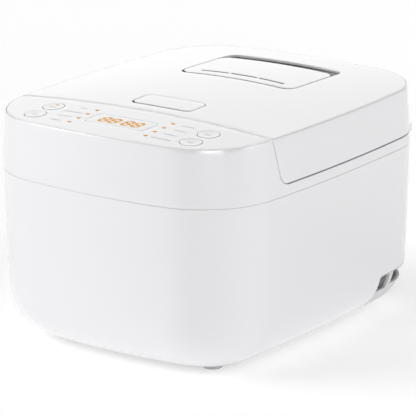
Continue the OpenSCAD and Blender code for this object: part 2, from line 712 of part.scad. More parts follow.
module lid_top_cover() {
  color(white) difference() {
    crowned_plate(rear_loop(-rim_w - 0.2, seam + rim_w + 0.2, rim_z), plate_t,
      centre = [0, 33]);
    translate([0, 0, 170]) linear_extrude(30) polygon(vent_loop(0, vent_y[0], vent_y[1]));
    translate([0, 0, 170]) linear_extrude(30)
      polygon(rounded_rect(release_w + 1, release_d + 1.2, 6.4, [0, release_y - 0.2]));
  }
}

seal_y = 78;
seal_r = 13;
module lid_liner() {
  hat_r = 93.8;
  rear = 131;
  color(grey_white) difference() {
    union() {
      difference() {
        translate([0, 0, liner_z[0]]) linear_extrude(liner_z[1] - liner_z[0])
          polygon(rear_loop(-1.5, seam + lid_wall + 0.3, 148));
        pot_space(hat_r + 0.8, [140, 160]);
      }
      turned([[0, 155.2], [hat_r, 155.2], [hat_r, liner_z[0]], [hat_r + 1.5, liner_z[0]],
        [hat_r + 1.5, 157], [0, 157]]);
    }
    block([-103, 103], [rear, 160], [140, 160]);
    mirrored() block([54, 66], [112, 160], [140, 153]);
    mirrored() block([hook_x - 4.5, hook_x + 4.5], [-60, -43], [140, 153]);
    translate([0, seal_y, 150]) cylinder(r = seal_r + 0.1, h = 10);
    translate([-40, 10, 150]) cylinder(r = 4.1, h = 10);
    for (p = lid_screw) mirrored() translate([p[0], p[1], 140]) cylinder(r = 1.7, h = 20);
    mirrored() for (y = arm_screw_y) translate([70, y, 140]) cylinder(r = 1.6, h = 15);
  }
}

module inner_lid() {
  color(steel) difference() {
    turned([[0, 152], [92, 152], [92, 153.2], [0, 153.2]]);
    for (a = [0 : 60 : 300]) translate([6.5 * cos(a), seal_y + 6.5 * sin(a), 150])
      cylinder(r = 2, h = 6, $fn = 24);
  }
}
module lid_gasket() {
  color(silicone) turned([[86, 149.4], [88, 148.65], [91, 148.65], [93.2, 149.6], [93.2, 155],
    [89, 155], [89, 153.2], [92, 153.2], [92, 152], [89, 152], [86.8, 150.6]]);
}
module steam_seal() {
  color(silicone) translate([0, seal_y, 0]) rotate_extrude()
    polygon([[10, 153.3], [seal_r, 153.3], [seal_r, 157.2], [seal_r + 1.5, 157.2],
      [seal_r + 1.5, 160.9], [10, 160.9]]);
}
module lid_sensor() {
  color(steel) translate([-40, 10, 153.3]) cylinder(r = 4, h = 6);
}

module hinge_arms() {
  color(steel) mirrored() difference() {
    union() {
      rod_x([66.2, 73.5], hinge[0], hinge[1], 4.8);
      along_x([66.2, 73.5], [[106, liner_z[1]], [132, liner_z[1]], [135, 149],
        [hinge[0], 148], [hinge[0], 154.6], [133, 153.4], [106, 153.4]]);
    }
    rod_x([60, 80], hinge[0], hinge[1], pin_r + 0.06);
    for (y = arm_screw_y) translate([70, y, 150]) cylinder(r = 1.6, h = 5);
  }
}
module lid_screws() {
  color(steel) {
    for (p = lid_screw) mirrored() translate([p[0], p[1], 0]) {
      translate([0, 0, 147.4]) cylinder(r = 2.7, h = 1.8);
      translate([0, 0, 149]) cylinder(r = 1.15, h = 10);
    }
    mirrored() for (y = arm_screw_y) translate([70, y, 0]) {
      translate([0, 0, 153.4]) cylinder(r = 2.7, h = 1.6);
      translate([0, 0, 148.2]) cylinder(r = 1.4, h = 5.4);
    }
  }
}

// The latch: pressing the release plate turns a bar with two hooks
module latch_frame() {
  y = [-61, -33];
  color(dark) difference() {
    union() {
      block([-34, 34], y, [158.5, 160.5]);
      mirrored() block([31, 34], y, [158.5, 182]);
      mirrored() block([31, 34], [-41.2, -35.2], [158.5, 185.3]);
      for (p = [[20, -54], [28, -37]]) mirrored()
        translate([p[0], p[1], 157]) cylinder(r = 2.5, h = 2);
    }
    rod_x([-40, 40], latch_axis[0], latch_axis[1], 2.56);
    rod_x([-40, 40], button_axis[0], button_axis[1], 1.56);
  }
}
module latch_bar() {
  hook = [[-2, 0], [2, 0], [2, -27.2], [-6, -27.2], [-6, -26], [-3.6, -24.2], [-2, -24.2]];
  finger = [[-2, -1], [2, -1], [2, 2], [-6.2, 10], [-9, 10], [-9, 8.4]];
  function placed(pts) = [for (p = pts) latch_axis + p];
  color(steel) {
    rod_x([-61, 61], latch_axis[0], latch_axis[1], 2.5);
    mirrored() along_x([hook_x - 2.5, hook_x + 2.5], placed(hook));
    along_x([-4, 4], placed(finger));
  }
}
module release_button() {
  y0 = release_y;
  color(white) {
    crowned_plate(rounded_rect(release_w, release_d - 0.8, 6, [0, y0 + 0.4]), 2,
      centre = [0, y0], steps = [0.5, 1]);
    rod_x([-33.8, 33.8], button_axis[0], button_axis[1], 1.5);
    for (x = [-24, 20]) along_x([x, x + 4], [[button_axis[0] - 1.5, 182.4],
      [button_axis[0] + 1.5, 182.4], [button_axis[0] + 1.5, 186.4], [button_axis[0] - 1.5, 186.4]]);
    block([-5, 5], [-59, -56.4], [178.4, 185.8]);
  }
}
module button_spring() {
  color(steel) translate([0, -43.6, 0]) coil(2.8, 0.4, 160.55, 185, 8);
}

// The steam cap sits in a well in the lid and lifts off
well_z = [161, 184.2];
module vent_well() {
  color(grey_white) difference() {
    translate([0, 0, well_z[0]]) linear_extrude(well_z[1] - well_z[0])
      polygon(vent_loop(2.2, vent_y[0], vent_y[1]));
    translate([0, 0, well_z[0] + 2]) linear_extrude(30) polygon(vent_loop(0.3, vent_y[0], vent_y[1]));
    translate([0, seal_y, well_z[0] - 1]) cylinder(r = 10, h = 10);
  }
}
slot_y = 52.6;
module vent_cover() {
  color(white) difference() {
    crowned_plate(vent_loop(-0.6, vent_y[0], cover_rear), 2, centre = [0, 70]);
    for (s = [-1, 0, 1]) translate([0, 0, 170]) linear_extrude(30)
      polygon(rounded_rect(26.2, 1.3, 0.6, [27.4 * s, slot_y - 1.2 * abs(s)], 3));
  }
}
tray_z = [163.05, 183];
module vent_tray() {
  color(grey_white) difference() {
    union() {
      translate([0, 0, tray_z[0]]) linear_extrude(tray_z[1] - tray_z[0])
        polygon(vent_loop(-4, vent_y[0], cover_rear - 2, 7));
      for (x = [-44, 44], y = [48, 90]) let (p = [x, y])
        translate([x, y, tray_z[1] - 6]) cylinder(r = 2.4, h = top_z(p) - tray_z[1] + 3.9);
    }
    difference() {
      translate([0, 0, tray_z[0] + 1.8]) linear_extrude(30)
        polygon(vent_loop(-5.8, vent_y[0], cover_rear - 2, 6));
      for (x = [-44, 44], y = [48, 90]) translate([x, y, tray_z[0]]) cylinder(r = 2.4, h = 40);
      translate([0, seal_y, tray_z[0]]) cylinder(r = 12, h = 8);
    }
    translate([0, seal_y, tray_z[0] - 1]) cylinder(r = 9, h = 20);
  }
}
module vent_flap() {
  color(silicone) translate([0, seal_y, tray_z[0] + 8.1]) {
    cylinder(r = 11.5, h = 1.6);
    translate([0, 0, -6]) cylinder(r = 8.4, h = 6);
  }
}

lower_shell();
base_tray();
vent_screens();
rubber_feet();
base_screws();
upper_shell();
console_housing();
control_panel();
display_lens();
display_digits();
display_module();
indicator_lights();
key_left_rear();
key_left_front();
key_right_rear();
key_right_front();
key_lamp();
control_board();
key_switches();
power_board();
transformer();
relay();
capacitors();
power_inlet();
inlet_pins();
internal_wiring();
inner_liner();
trim_ring();
heating_plate();
heating_element();
heater_terminals();
thermal_fuse();
warming_band();
sensor_holder();
sensor_plunger();
sensor_spring();
inner_pot();
hinge_brackets();
hinge_pin();
strike_plates();
lid_shell();
lid_top_cover();
lid_liner();
inner_lid();
lid_gasket();
steam_seal();
lid_sensor();
hinge_arms();
lid_screws();
latch_frame();
latch_bar();
release_button();
button_spring();
vent_well();
vent_cover();
vent_tray();
vent_flap();
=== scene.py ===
import json
import math

import bmesh
import bpy
import numpy as np
from mathutils import Euler, Matrix, Vector, geometry


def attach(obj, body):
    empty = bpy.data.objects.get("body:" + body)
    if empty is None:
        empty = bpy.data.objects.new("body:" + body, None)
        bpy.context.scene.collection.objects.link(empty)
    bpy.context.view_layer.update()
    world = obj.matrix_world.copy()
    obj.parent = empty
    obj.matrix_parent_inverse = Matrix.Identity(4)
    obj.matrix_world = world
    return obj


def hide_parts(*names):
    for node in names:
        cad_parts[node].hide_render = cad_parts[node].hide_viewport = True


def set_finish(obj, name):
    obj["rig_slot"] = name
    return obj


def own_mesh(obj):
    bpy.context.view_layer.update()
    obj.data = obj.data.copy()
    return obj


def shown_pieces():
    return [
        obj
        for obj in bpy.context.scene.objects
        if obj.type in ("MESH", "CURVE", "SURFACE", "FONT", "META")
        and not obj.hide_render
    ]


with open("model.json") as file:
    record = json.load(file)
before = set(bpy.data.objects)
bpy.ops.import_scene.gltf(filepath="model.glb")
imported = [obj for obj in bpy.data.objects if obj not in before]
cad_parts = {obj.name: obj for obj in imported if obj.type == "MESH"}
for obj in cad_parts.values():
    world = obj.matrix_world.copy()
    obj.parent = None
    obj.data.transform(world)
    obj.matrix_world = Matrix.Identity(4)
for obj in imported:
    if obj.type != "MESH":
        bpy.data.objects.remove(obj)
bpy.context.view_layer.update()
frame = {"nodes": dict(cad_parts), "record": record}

# The outer parts are made again as finer meshes, and the inner parts are the CAD's own. Shapes are in
# millimetres, with the front at -y, the right side at +x and the floor at z = 0.
MM = 0.001

# ---------------------------------------------------------------- body shape
# Half width and half depth of the outline at the rim.
HALF_W, HALF_D = 121.5, 145.6
# The walls stand out by FLARE at the belt, and below it they come in by TAPER down to the feet.
FLARE, TAPER = 2.1, 4.0
FOOT_H, BELT_Z, GAP_Z, RIM_Z = 3.6, 137.4, 145.9, 183.0
# Width and height of the rounding along the bottom edge.
ROUND_W, ROUND_H = 34.4, 41.6
# The top bows by CROWN from side to side, the lid bulges by DOME, and the panel falls by SLOPE.
CROWN, DOME, SLOPE = 3.5, 2.5, 0.045
# The line between panel and lid: its y at the sides, its bow, its slant and its lower corners' radius.
DIV_Y, DIV_BOW, DIV_SLANT, SKIRT_R = -79.0, 5.4, 0.24, 8.0
# Half the gap at that line, the rim's width, and the top plates' thickness and the depth of their ledge.
SEAM, RIM_W, PLATE_T, LEDGE = 0.4, 1.1, 2.05, 2.2
LID_WALL, WALL = 2.5, 2.8
# How far the front, the sides and the back bow out, and the radii of the corners between them.
FRONT_BOW, SIDE_BOW, REAR_BOW = 16.1, 8.0, 2.0
FRONT_CORNER_R, REAR_CORNER_R = 62.0, 52.0
POT_Y = 34.5
# The lid's pin (y, z), and the trough around it that ends at x = TROUGH_X.
HINGE = (139.0, 150.0)
TROUGH_R, TROUGH_X = 9.8, 99.0
# Usual distance between the points of a mesh.
MESH_STEP = 3.4


def arc_radius(half_chord, rise):
    return (half_chord * half_chord + rise * rise) / (2 * rise)


def touching(p, pr, q, qr, r, side):
    """Centre of a circle of radius r inside and touching two circles."""
    a, b = pr - r, qr - r
    v = q - p
    d = np.linalg.norm(v)
    e = v / d
    along = (a * a - b * b + d * d) / (2 * d)
    return p + along * e + side * math.sqrt(a * a - along * along) * np.array([-e[1], e[0]])


def angle_to(a, b):
    """Angle of the line from point a to point b."""
    return math.atan2(b[1] - a[1], b[0] - a[0])


FRONT_R, SIDE_R = arc_radius(HALF_W, FRONT_BOW), arc_radius(HALF_D, SIDE_BOW)
REAR_R = arc_radius(HALF_W, REAR_BOW)
FRONT_C, SIDE_C = np.array([0, FRONT_R - HALF_D]), np.array([HALF_W - SIDE_R, 0])
REAR_C = np.array([0, HALF_D - REAR_R])
FRONT_CORNER = touching(FRONT_C, FRONT_R, SIDE_C, SIDE_R, FRONT_CORNER_R, 1)
REAR_CORNER = touching(REAR_C, REAR_R, SIDE_C, SIDE_R, REAR_CORNER_R, -1)
FRONT_END, SIDE_START = angle_to(FRONT_C, FRONT_CORNER), angle_to(SIDE_C, FRONT_CORNER)
SIDE_END, REAR_START = angle_to(SIDE_C, REAR_CORNER), angle_to(REAR_C, REAR_CORNER)
# (centre, radius, first angle, last angle) from the front middle round the right side to the back
ARCS = [(FRONT_C, FRONT_R, -math.pi / 2, FRONT_END),
        (FRONT_CORNER, FRONT_CORNER_R, FRONT_END, SIDE_START),
        (SIDE_C, SIDE_R, SIDE_START, SIDE_END),
        (REAR_CORNER, REAR_CORNER_R, SIDE_END, REAR_START),
        (REAR_C, REAR_R, REAR_START, math.pi / 2)]
# Distance along the outline at which each arc starts, and the length of half the outline.
STARTS = np.concatenate([[0], np.cumsum([r * (b - a) for _, r, a, b in ARCS])])
SIDE_AT, REAR_CORNER_AT, HALF_LOOP = STARTS[2], STARTS[3], STARTS[-1]


def outline(u, off):
    """Point of the outline at distance u from the front middle (to the right), grown by off."""
    u = np.asarray(u, float)
    s = np.abs(u)
    x, y = np.zeros_like(s), np.zeros_like(s)
    off = np.broadcast_to(np.asarray(off, float), s.shape)
    k = np.clip(np.searchsorted(STARTS, s, side="right") - 1, 0, len(ARCS) - 1)
    for i, (c, r, a, _) in enumerate(ARCS):
        m = k == i
        t = a + (s[m] - STARTS[i]) / r
        x[m] = c[0] + (r + off[m]) * np.cos(t)
        y[m] = c[1] + (r + off[m]) * np.sin(t)
    return np.where(u < 0, -x, x), y


def u_side(y):
    """Distance along the outline where the side wall passes y."""
    return SIDE_AT + (np.arcsin(np.asarray(y, float) / SIDE_R) - SIDE_START) * SIDE_R


def ease(t):
    """Goes smoothly from 0 to 1 as t does."""
    u = np.clip(t, 0, 1)
    return u * u * (3 - 2 * u)


def corner_back(z):
    """How far the line between panel and lid curves back near the gap, at its lower corners."""
    c = GAP_Z + SKIRT_R
    z = np.asarray(z, float)
    return np.where(z >= c, 0, SKIRT_R - np.sqrt(np.maximum(0, SKIRT_R ** 2 - (c - z) ** 2)))


def divider_y(x, z):
    """Where the line between panel and lid lies; its lower corners curve back only near the side walls."""
    x = np.abs(np.asarray(x, float))
    return (DIV_Y + DIV_BOW * (1 - (x / HALF_W) ** 2) + DIV_SLANT * (RIM_Z - z)
            + ease((x - 90) / 22) * corner_back(z))


def wall_off(z):
    """How far the wall stands outside the outline at height z."""
    z = np.asarray(z, float)
    low = np.maximum(0, (BELT_Z - z) / (BELT_Z - FOOT_H))
    round_z = FOOT_H + ROUND_H
    rounding = ROUND_W * (1 - np.sqrt(np.maximum(0, 1 - ((round_z - z) / ROUND_H) ** 2)))
    down = FLARE - TAPER * low ** 1.4 - np.where(z >= round_z, 0, rounding)
    up = FLARE * (RIM_Z - z) / (RIM_Z - GAP_Z)
    return np.where(z > GAP_Z, up, np.where(z > BELT_Z, FLARE, down))


def top_z(x, y):
    """Height of the top, which slopes down in front of the line between panel and lid."""
    x, y = np.asarray(x, float), np.asarray(y, float)
    k = 1 - (x / HALF_W) ** 2
    v = (y - (HALF_D + DIV_Y) / 2) / ((HALF_D - DIV_Y) / 2)
    return RIM_Z + CROWN * k + np.where(y < DIV_Y, SLOPE * (y - DIV_Y),
                                        DOME * k * np.maximum(0, 1 - v * v))


def rim_z(u):
    """Height of the top at one point of the outline."""
    return float(top_z(*outline(np.array([u]), 0))[0])


# ---------------------------------------------------------------- flat lines
def steps(a, b, d):
    """Even steps of about d from a to b."""
    return np.linspace(a, b, max(2, int(round(abs(b - a) / d)) + 1))


def dense(pts, step):
    """The same polyline with no gap longer than step."""
    pts = [np.asarray(p, float) for p in pts]
    out = [pts[0]]
    for a, b in zip(pts, pts[1:]):
        n = max(1, int(math.ceil(np.linalg.norm(b - a) / step)))
        out += [a + (b - a) * i / n for i in range(1, n + 1)]
    return np.array(out)


def closed_dense(pts, step):
    """As dense, for a closed line."""
    return dense(list(pts) + [pts[0]], step)[:-1]


def arc(c, r, a0, a1, n):
    """n + 1 points of an arc about c, between two angles in degrees."""
    t = np.radians(np.linspace(a0, a1, n + 1))
    return np.stack([c[0] + r * np.cos(t), c[1] + r * np.sin(t)], 1)


def circle(c, r, n=64):
    return arc(c, r, 0, 360, n)[:-1]


def rounded_rect(w, d, r, c=(0, 0), n=8, step=3.0):
    """A rectangle w by d about c, with corners of radius r made of n pieces."""
    x, y = w / 2 - r, d / 2 - r
    corners = [(-x, -y, 180), (x, -y, 270), (x, y, 0), (-x, y, 90)]
    pts = np.concatenate([arc((c[0] + a, c[1] + b), r, s, s + 90, n) for a, b, s in corners])
    return closed_dense(pts, step)


def mirrored_chain(right):
    """A line from the back's middle (left) to the back's middle (right), from its right half."""
    right = np.asarray(right, float)
    left = right[::-1] * [-1, 1]
    return np.concatenate([left, right[1:]])


def mirrored_loop(right):
    """A closed line from its right half, whose ends lie on the middle line."""
    return np.concatenate([right, right[::-1][1:-1] * [-1, 1]])


def shifted(p, d, closed):
    """The polyline moved to its left by d."""
    if closed:
        a, b = p - np.roll(p, 1, 0), np.roll(p, -1, 0) - p
    else:
        s = p[1:] - p[:-1]
        a, b = np.concatenate([s[:1], s]), np.concatenate([s, s[-1:]])
    a = a / np.maximum(1e-9, np.linalg.norm(a, axis=1, keepdims=True))
    b = b / np.maximum(1e-9, np.linalg.norm(b, axis=1, keepdims=True))
    na, nb = np.stack([-a[:, 1], a[:, 0]], 1), np.stack([-b[:, 1], b[:, 0]], 1)
    n = na + nb
    # At a sharp corner the shift stays below two and a half times d.
    n = n / np.maximum(0.35, (n * na).sum(1, keepdims=True))
    return p + d * n


def area(p):
    """Area of a closed line, positive when it turns left."""
    q = np.roll(p, -1, 0)
    return 0.5 * (p[:, 0] * q[:, 1] - p[:, 1] * q[:, 0]).sum()


def inside(pts, poly):
    """Which of the points lie inside a closed line."""
    x, y = pts[:, 0], pts[:, 1]
    res = np.zeros(len(pts), bool)
    for (x0, y0), (x1, y1) in zip(poly, np.roll(poly, -1, 0)):
        if y0 != y1:
            res ^= ((y0 > y) != (y1 > y)) & (x < (x1 - x0) * (y - y0) / (y1 - y0) + x0)
    return res


def gap_to(pts, lines, batch=2000):
    """Distance of each point to the nearest of the polylines, worked out in batches."""
    best = np.full(len(pts), 1e9)
    for line, closed in lines:
        a = line if closed else line[:-1]
        b = np.roll(line, -1, 0) if closed else line[1:]
        for s in range(0, len(pts), batch):
            p = pts[s:s + batch, None]
            ab = (b - a)[None]
            t = np.clip(((p - a[None]) * ab).sum(2) / np.maximum(1e-12, (ab * ab).sum(2)), 0, 1)
            d = np.linalg.norm(p - (a[None] + t[..., None] * ab), axis=2).min(1)
            best[s:s + batch] = np.minimum(best[s:s + batch], d)
    return best


# ---------------------------------------------------------------- surfaces
# Each gives points at a depth below the surface, for a flat place (u, v).
def on_wall(u, z, depth):
    x, y = outline(u, wall_off(z) - depth)
    return np.stack([x, y, np.broadcast_to(z, x.shape)], 1)


def on_wall_back(t, z, depth):
    """As on_wall, with the distance counted from the middle of the back."""
    return on_wall(np.where(t < 0, t + HALF_LOOP, t - HALF_LOOP), z, depth)


def on_top(x, y, depth):
    return np.stack([x, y, top_z(x, y) - depth], 1)


def below_top(gap):
    """A surface that lies gap below the top."""
    return lambda x, y, depth: on_top(x, y, depth + gap)


def flat_at(z):
    return lambda x, y, depth: np.stack([x, y, z - depth + 0 * x], 1)


# ---------------------------------------------------------------- meshes
# Rows of points along a rounded edge, as shares of its radius, and the clear band inside them.
EDGE_ROWS = (0, 0.13, 0.5, 1)
EDGE_CLEAR = 0.9


def skin(surface, thick, outer=None, holes=(), chains=None, r=0.5, us=None, vs=None, span=None):
    """A closed sheet with rounded edges. surface(u, v, depth) gives its points, and us and vs its grid.
    outer and holes are closed loops in (u, v); chains are a lower line running right and an upper
    line running left between the ends of a span that meet, in place of outer."""
    holes = [h[::-1] if area(h) > 0 else h for h in holes]
    if chains:
        edge_lines = [(c, False) for c in chains]
        poly = np.concatenate(chains)
    else:
        outer = outer if area(outer) > 0 else outer[::-1]
        edge_lines = [(outer, True)]
        poly = outer
    edge_lines += [(h, True) for h in holes]
    pts, edges = [], []
    for line, closed in edge_lines:
        for share in EDGE_ROWS:
            q = shifted(line, share * r, closed) if share else line
            if share and not closed:
                q[0, 0], q[-1, 0] = line[0, 0], line[-1, 0]
            n = len(pts)
            pts += list(q)
            edges += [(n + i, n + i + 1) for i in range(len(q) - 1)]
            if closed:
                edges.append((n + len(q) - 1, n))
    gu, gv = np.meshgrid(us, vs)
    grid = np.stack([gu.ravel(), gv.ravel()], 1)
    # The factor lets the grid's points at the ends of a span count as inside.
    grid = grid[inside(grid * [0.999999, 1], poly)]
    for h in holes:
        grid = grid[~inside(grid, h)]
    pts += list(grid[gap_to(grid, edge_lines) > r + EDGE_CLEAR])
    flat, _, tris, _, _, _ = geometry.delaunay_2d_cdt([Vector(p) for p in pts], edges, [], 0, 1e-5)
    flat = np.array([tuple(v) for v in flat])
    tris = np.array([f for f in tris if len(f) == 3])
    mid = flat[tris].mean(1)
    wanted = inside(mid, poly)
    for h in holes:
        wanted &= ~inside(mid, h)
    e1, e2 = flat[tris[:, 1]] - flat[tris[:, 0]], flat[tris[:, 2]] - flat[tris[:, 0]]
    turn = e1[:, 0] * e2[:, 1] - e1[:, 1] * e2[:, 0]
    wanted &= np.abs(turn) > 1e-7
    tris, turn = tris[wanted], turn[wanted]
    tris[turn < 0] = tris[turn < 0][:, ::-1]
    used = np.unique(tris)
    remap = -np.ones(len(flat), int)
    remap[used] = np.arange(len(used))
    flat, tris = flat[used], remap[tris]
    d = gap_to(flat, edge_lines)
    drop = np.where(d < r, r - np.sqrt(np.maximum(0, r * r - (r - d) ** 2)), 0)
    u, v = flat[:, 0], flat[:, 1]
    top = surface(u, v, drop)
    bottom = surface(u, v, thick(u, v) if callable(thick) else np.full(len(flat), thick))
    n = len(flat)
    faces = [tuple(f) for f in tris] + [tuple(i + n for i in f[::-1]) for f in tris]
    sides = dict.fromkeys(pair for f in tris for pair in ((f[0], f[1]), (f[1], f[2]), (f[2], f[0])))
    for a, b in sides:
        at_span = span and all(abs(abs(u[k]) - span) < 1e-4 for k in (a, b))
        if (b, a) not in sides and not at_span:
            faces.append((b, a, a + n, b + n))
    return np.concatenate([top, bottom]), faces


def sections(xs, section):
    """Closed sections [y, z] at each x, joined from left to right with flat ends."""
    rings = [np.asarray(section(x), float) for x in xs]
    n = len(rings[0])
    verts = [(x, p[0], p[1]) for x, r in zip(xs, rings) for p in r]
    faces = [(i * n + j, i * n + (j + 1) % n, (i + 1) * n + (j + 1) % n, (i + 1) * n + j)
             for i in range(len(xs) - 1) for j in range(n)]
    faces += [tuple(range(n))[::-1], tuple((len(xs) - 1) * n + j for j in range(n))]
    return verts, faces


def lathe(profile, centre=(0, 0), n=96, matrix=None):
    """A closed profile of (radius, height) turned about a vertical axis, or about that of a matrix."""
    verts, faces, rows = [], [], []
    for rad, z in profile:
        if rad < 1e-6:
            rows.append([len(verts)] * n)
            verts.append((0, 0, z))
        else:
            rows.append(list(range(len(verts), len(verts) + n)))
            verts += [(rad * math.cos(2 * math.pi * i / n), rad * math.sin(2 * math.pi * i / n), z)
                      for i in range(n)]
    for a, b in zip(rows, rows[1:] + rows[:1]):
        for i in range(n):
            q = [a[i], a[(i + 1) % n], b[(i + 1) % n], b[i]]
            q = [k for p, k in enumerate(q) if k not in q[:p]]
            if len(q) > 2:
                faces.append(tuple(q))
    if matrix is None:
        return np.array(verts) + [centre[0], centre[1], 0], faces
    return np.array([tuple(matrix @ Vector(p)) for p in verts]), faces


def cylinder(r, z0, z1, centre=(0, 0), n=96, matrix=None):
    """A solid cylinder from z0 to z1, turned as a lathe part is."""
    return lathe([(0, z0), (r, z0), (r, z1), (0, z1)], centre, n, matrix)


def box_part(x, y, z):
    """A box between two values of x, of y and of z."""
    v = [(a, b, c) for c in z for b in y for a in x]
    f = [(0, 2, 3, 1), (4, 5, 7, 6), (0, 1, 5, 4), (2, 6, 7, 3), (0, 4, 6, 2), (1, 3, 7, 5)]
    return v, f


def rod_part(x, y, z, r, n=32):
    """A rod along x."""
    ring = [(y + r * math.cos(2 * math.pi * i / n), z + r * math.sin(2 * math.pi * i / n))
            for i in range(n)]
    return sections(x, lambda _: ring)


def raised(shape, z0, z1):
    """A flat shape on the top, from z0 to z1 above its surface."""
    n = len(shape)
    v = [(p[0], p[1], float(top_z(p[0], p[1])) + z) for z in (z0, z1) for p in shape]
    f = [tuple(range(n))[::-1], tuple(range(n, 2 * n))]
    return v, f + [(i, (i + 1) % n, n + (i + 1) % n, n + i) for i in range(n)]


def join(name, parts, sharp=32.0):
    """One object made of meshes (points, faces); edges steeper than sharp degrees stay sharp."""
    verts, faces = [], []
    for part_verts, part_faces in parts:
        n = len(verts)
        verts += [tuple(p) for p in part_verts]
        faces += [tuple(i + n for i in q) for q in part_faces]
    mesh = bpy.data.meshes.new(name)
    mesh.from_pydata([tuple(v) for v in np.asarray(verts, float) * MM], [], faces)
    bm = bmesh.new()
    bm.from_mesh(mesh)
    bmesh.ops.remove_doubles(bm, verts=bm.verts, dist=2e-6)
    bmesh.ops.recalc_face_normals(bm, faces=bm.faces)
    bm.to_mesh(mesh)
    bm.free()
    mesh.shade_smooth()
    mesh.set_sharp_from_angle(angle=math.radians(sharp))
    return linked(name, mesh)


def linked(name, data):
    o = bpy.data.objects.new(name, data)
    bpy.context.scene.collection.objects.link(o)
    return o


def place(o, body, slot, *nodes):
    """Lets a piece ride on a body, in a material slot, in place of CAD nodes."""
    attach(o, body)
    if nodes:
        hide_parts(*nodes)
    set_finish(o, slot)


# ---------------------------------------------------------------- lower shell
# The base part shows below a cut in the wall: from y = CUT_Y at the sides round the back.
CUT_Y, CUT_LOW, CUT_HIGH, CUT_CENTRE, CUT_R = 70.0, 8.0, 38.0, 33.0, 5.0
CUT_U = float(u_side(CUT_Y))
# The shells meet in a fine seam.
LOWER_TOP, UPPER_BOTTOM = 137.37, 137.57
LOWER_WALL = 2.6
WHOLE_LOOP = steps(-HALF_LOOP, HALF_LOOP, MESH_STEP)


def level(z, step=MESH_STEP):
    """A level line once round the wall."""
    return mirrored_chain(dense([(0, z), (HALF_LOOP, z)], step))


def build_lower_shell():
    corner = arc((CUT_U + CUT_R, CUT_CENTRE), CUT_R, 180, 90, 8)
    right = [(0, CUT_LOW), (CUT_U, CUT_LOW)] + [tuple(p) for p in corner] + [(HALF_LOOP, CUT_HIGH)]
    low = mirrored_chain(dense(right, MESH_STEP))
    # Close rows of points where the wall turns under, and wider ones above.
    rows = [9.6, 11.2, 13, 15, 17.2, 19.6, 22.2, 25, 28, 31.2, 34.6, 38.2, 41.8, 45.4, 50, 56]
    rows = np.array(rows + list(range(62, 135, 7)) + [135.8])
    wall = skin(on_wall, LOWER_WALL, chains=[low, level(LOWER_TOP)[::-1]], r=0.12, us=WHOLE_LOOP, vs=rows,
                span=HALF_LOOP)
    place(join("lower_body", [wall]), "base", "shell_white", "lower_shell")


# ---------------------------------------------------------------- the line between panel and lid
DIV_U = float(u_side(divider_y(HALF_W, RIM_Z) - SEAM))
# Where the walls along the line end, and where their sections lie, with extra ones where the line's lower
# corners begin and end. They curve below DIV_CURVE_Z.
DIV_END = 117.95
DIV_XS = np.unique(np.concatenate([np.linspace(-DIV_END, DIV_END, 61), [-112, -90, 90, 112]]))
DIV_CURVE_Z = 154.2


def line_heights(u, low):
    """Heights down the line from the rim at u, closer together where its lower corner curves."""
    straight = np.linspace(rim_z(u), DIV_CURVE_Z, 14)
    return np.concatenate([straight, [153, 151.6, 150.2, 149, 148, 147.2], low])


def wall_section(x, side, wall, bottom):
    """Section of the wall along the line. side is -1 for the panel's wall and 1 for the lid's."""
    def face(z):
        return float(divider_y(x, z)) + side * SEAM

    y = face(RIM_Z)
    top = float(top_z(x, y))
    heights = [bottom, 146.2, 146.8, 147.6, 148.6, 150, 151.6, 153.9, 162, 172]
    heights = [z for z in heights if z >= bottom]
    rim = [(0, -0.45), (0.06, -0.22), (0.22, -0.06), (0.45, 0), (RIM_W - 0.2, 0), (RIM_W, -0.2),
           (RIM_W, -LEDGE), (wall, -LEDGE)]
    return ([(face(z), z) for z in heights] + [(y + side * a, top + b) for a, b in rim]
            + [(face(z) + side * wall, z) for z in heights[::-1]])


def thinner_at_rim(wall):
    """Thickness of a wall that narrows to the rim's width below the rim."""
    return lambda u, z: np.interp(z, [176, 179], [wall, RIM_W])


def hinge_arc(r, start, end, count):
    """Points (y, z) of an arc about the lid's pin, between two angles in degrees."""
    return [(HINGE[0] + r * math.cos(a), HINGE[1] + r * math.sin(a))
            for a in np.radians(np.linspace(start, end, count))]


# ---------------------------------------------------------------- upper shell and console
DECK_Z, DECK_T = 145.3, 2.8
POT_HOLE_R = 93.0
LATCH_X, LATCH_Y, LATCH_SLOT_W, LATCH_SLOT_D = 58.0, -51.5, 8, 17
TROUGH_Z = HINGE[1] - TROUGH_R


def rear_corner_u(x, off):
    """Distance along the outline at which the rear corner, grown by off, comes in to x."""
    us = steps(REAR_CORNER_AT, HALF_LOOP, 0.5)
    xs, _ = outline(us, off)
    return float(us[np.argmin(np.abs(xs - x))])


TROUGH_U = rear_corner_u(TROUGH_X, 1.5)


def upper_wall():
    """The wall above the belt: up to the rim along the panel, and to the lid's gap behind it."""
    low_corner = [146.6, 146.15, 145.95]
    front = [(float(u_side(divider_y(HALF_W, z) - SEAM)), z) for z in line_heights(DIV_U, low_corner)]
    rim = [(float(u), rim_z(u)) for u in steps(0, DIV_U, MESH_STEP)[:-1]]
    gap_z, r = 145.5, 1.5
    corner = arc((TROUGH_U - r, gap_z - r), r, 90, 0, 5)[1:]
    right = (rim + front + [(front[-1][0], gap_z), (TROUGH_U - r, gap_z)] + [tuple(p) for p in corner]
             + [(TROUGH_U, TROUGH_Z - 0.2), (HALF_LOOP, TROUGH_Z - 0.2)])
    high = mirrored_chain(dense(right, MESH_STEP))[::-1]
    rows = np.array([139.4, 141.6, 143.4, 145.9] + list(np.arange(149, 182, 3.6)))
    return skin(on_wall, thinner_at_rim(WALL), chains=[level(UPPER_BOTTOM), high], r=0.16, us=WHOLE_LOOP,
                vs=rows, span=HALF_LOOP)


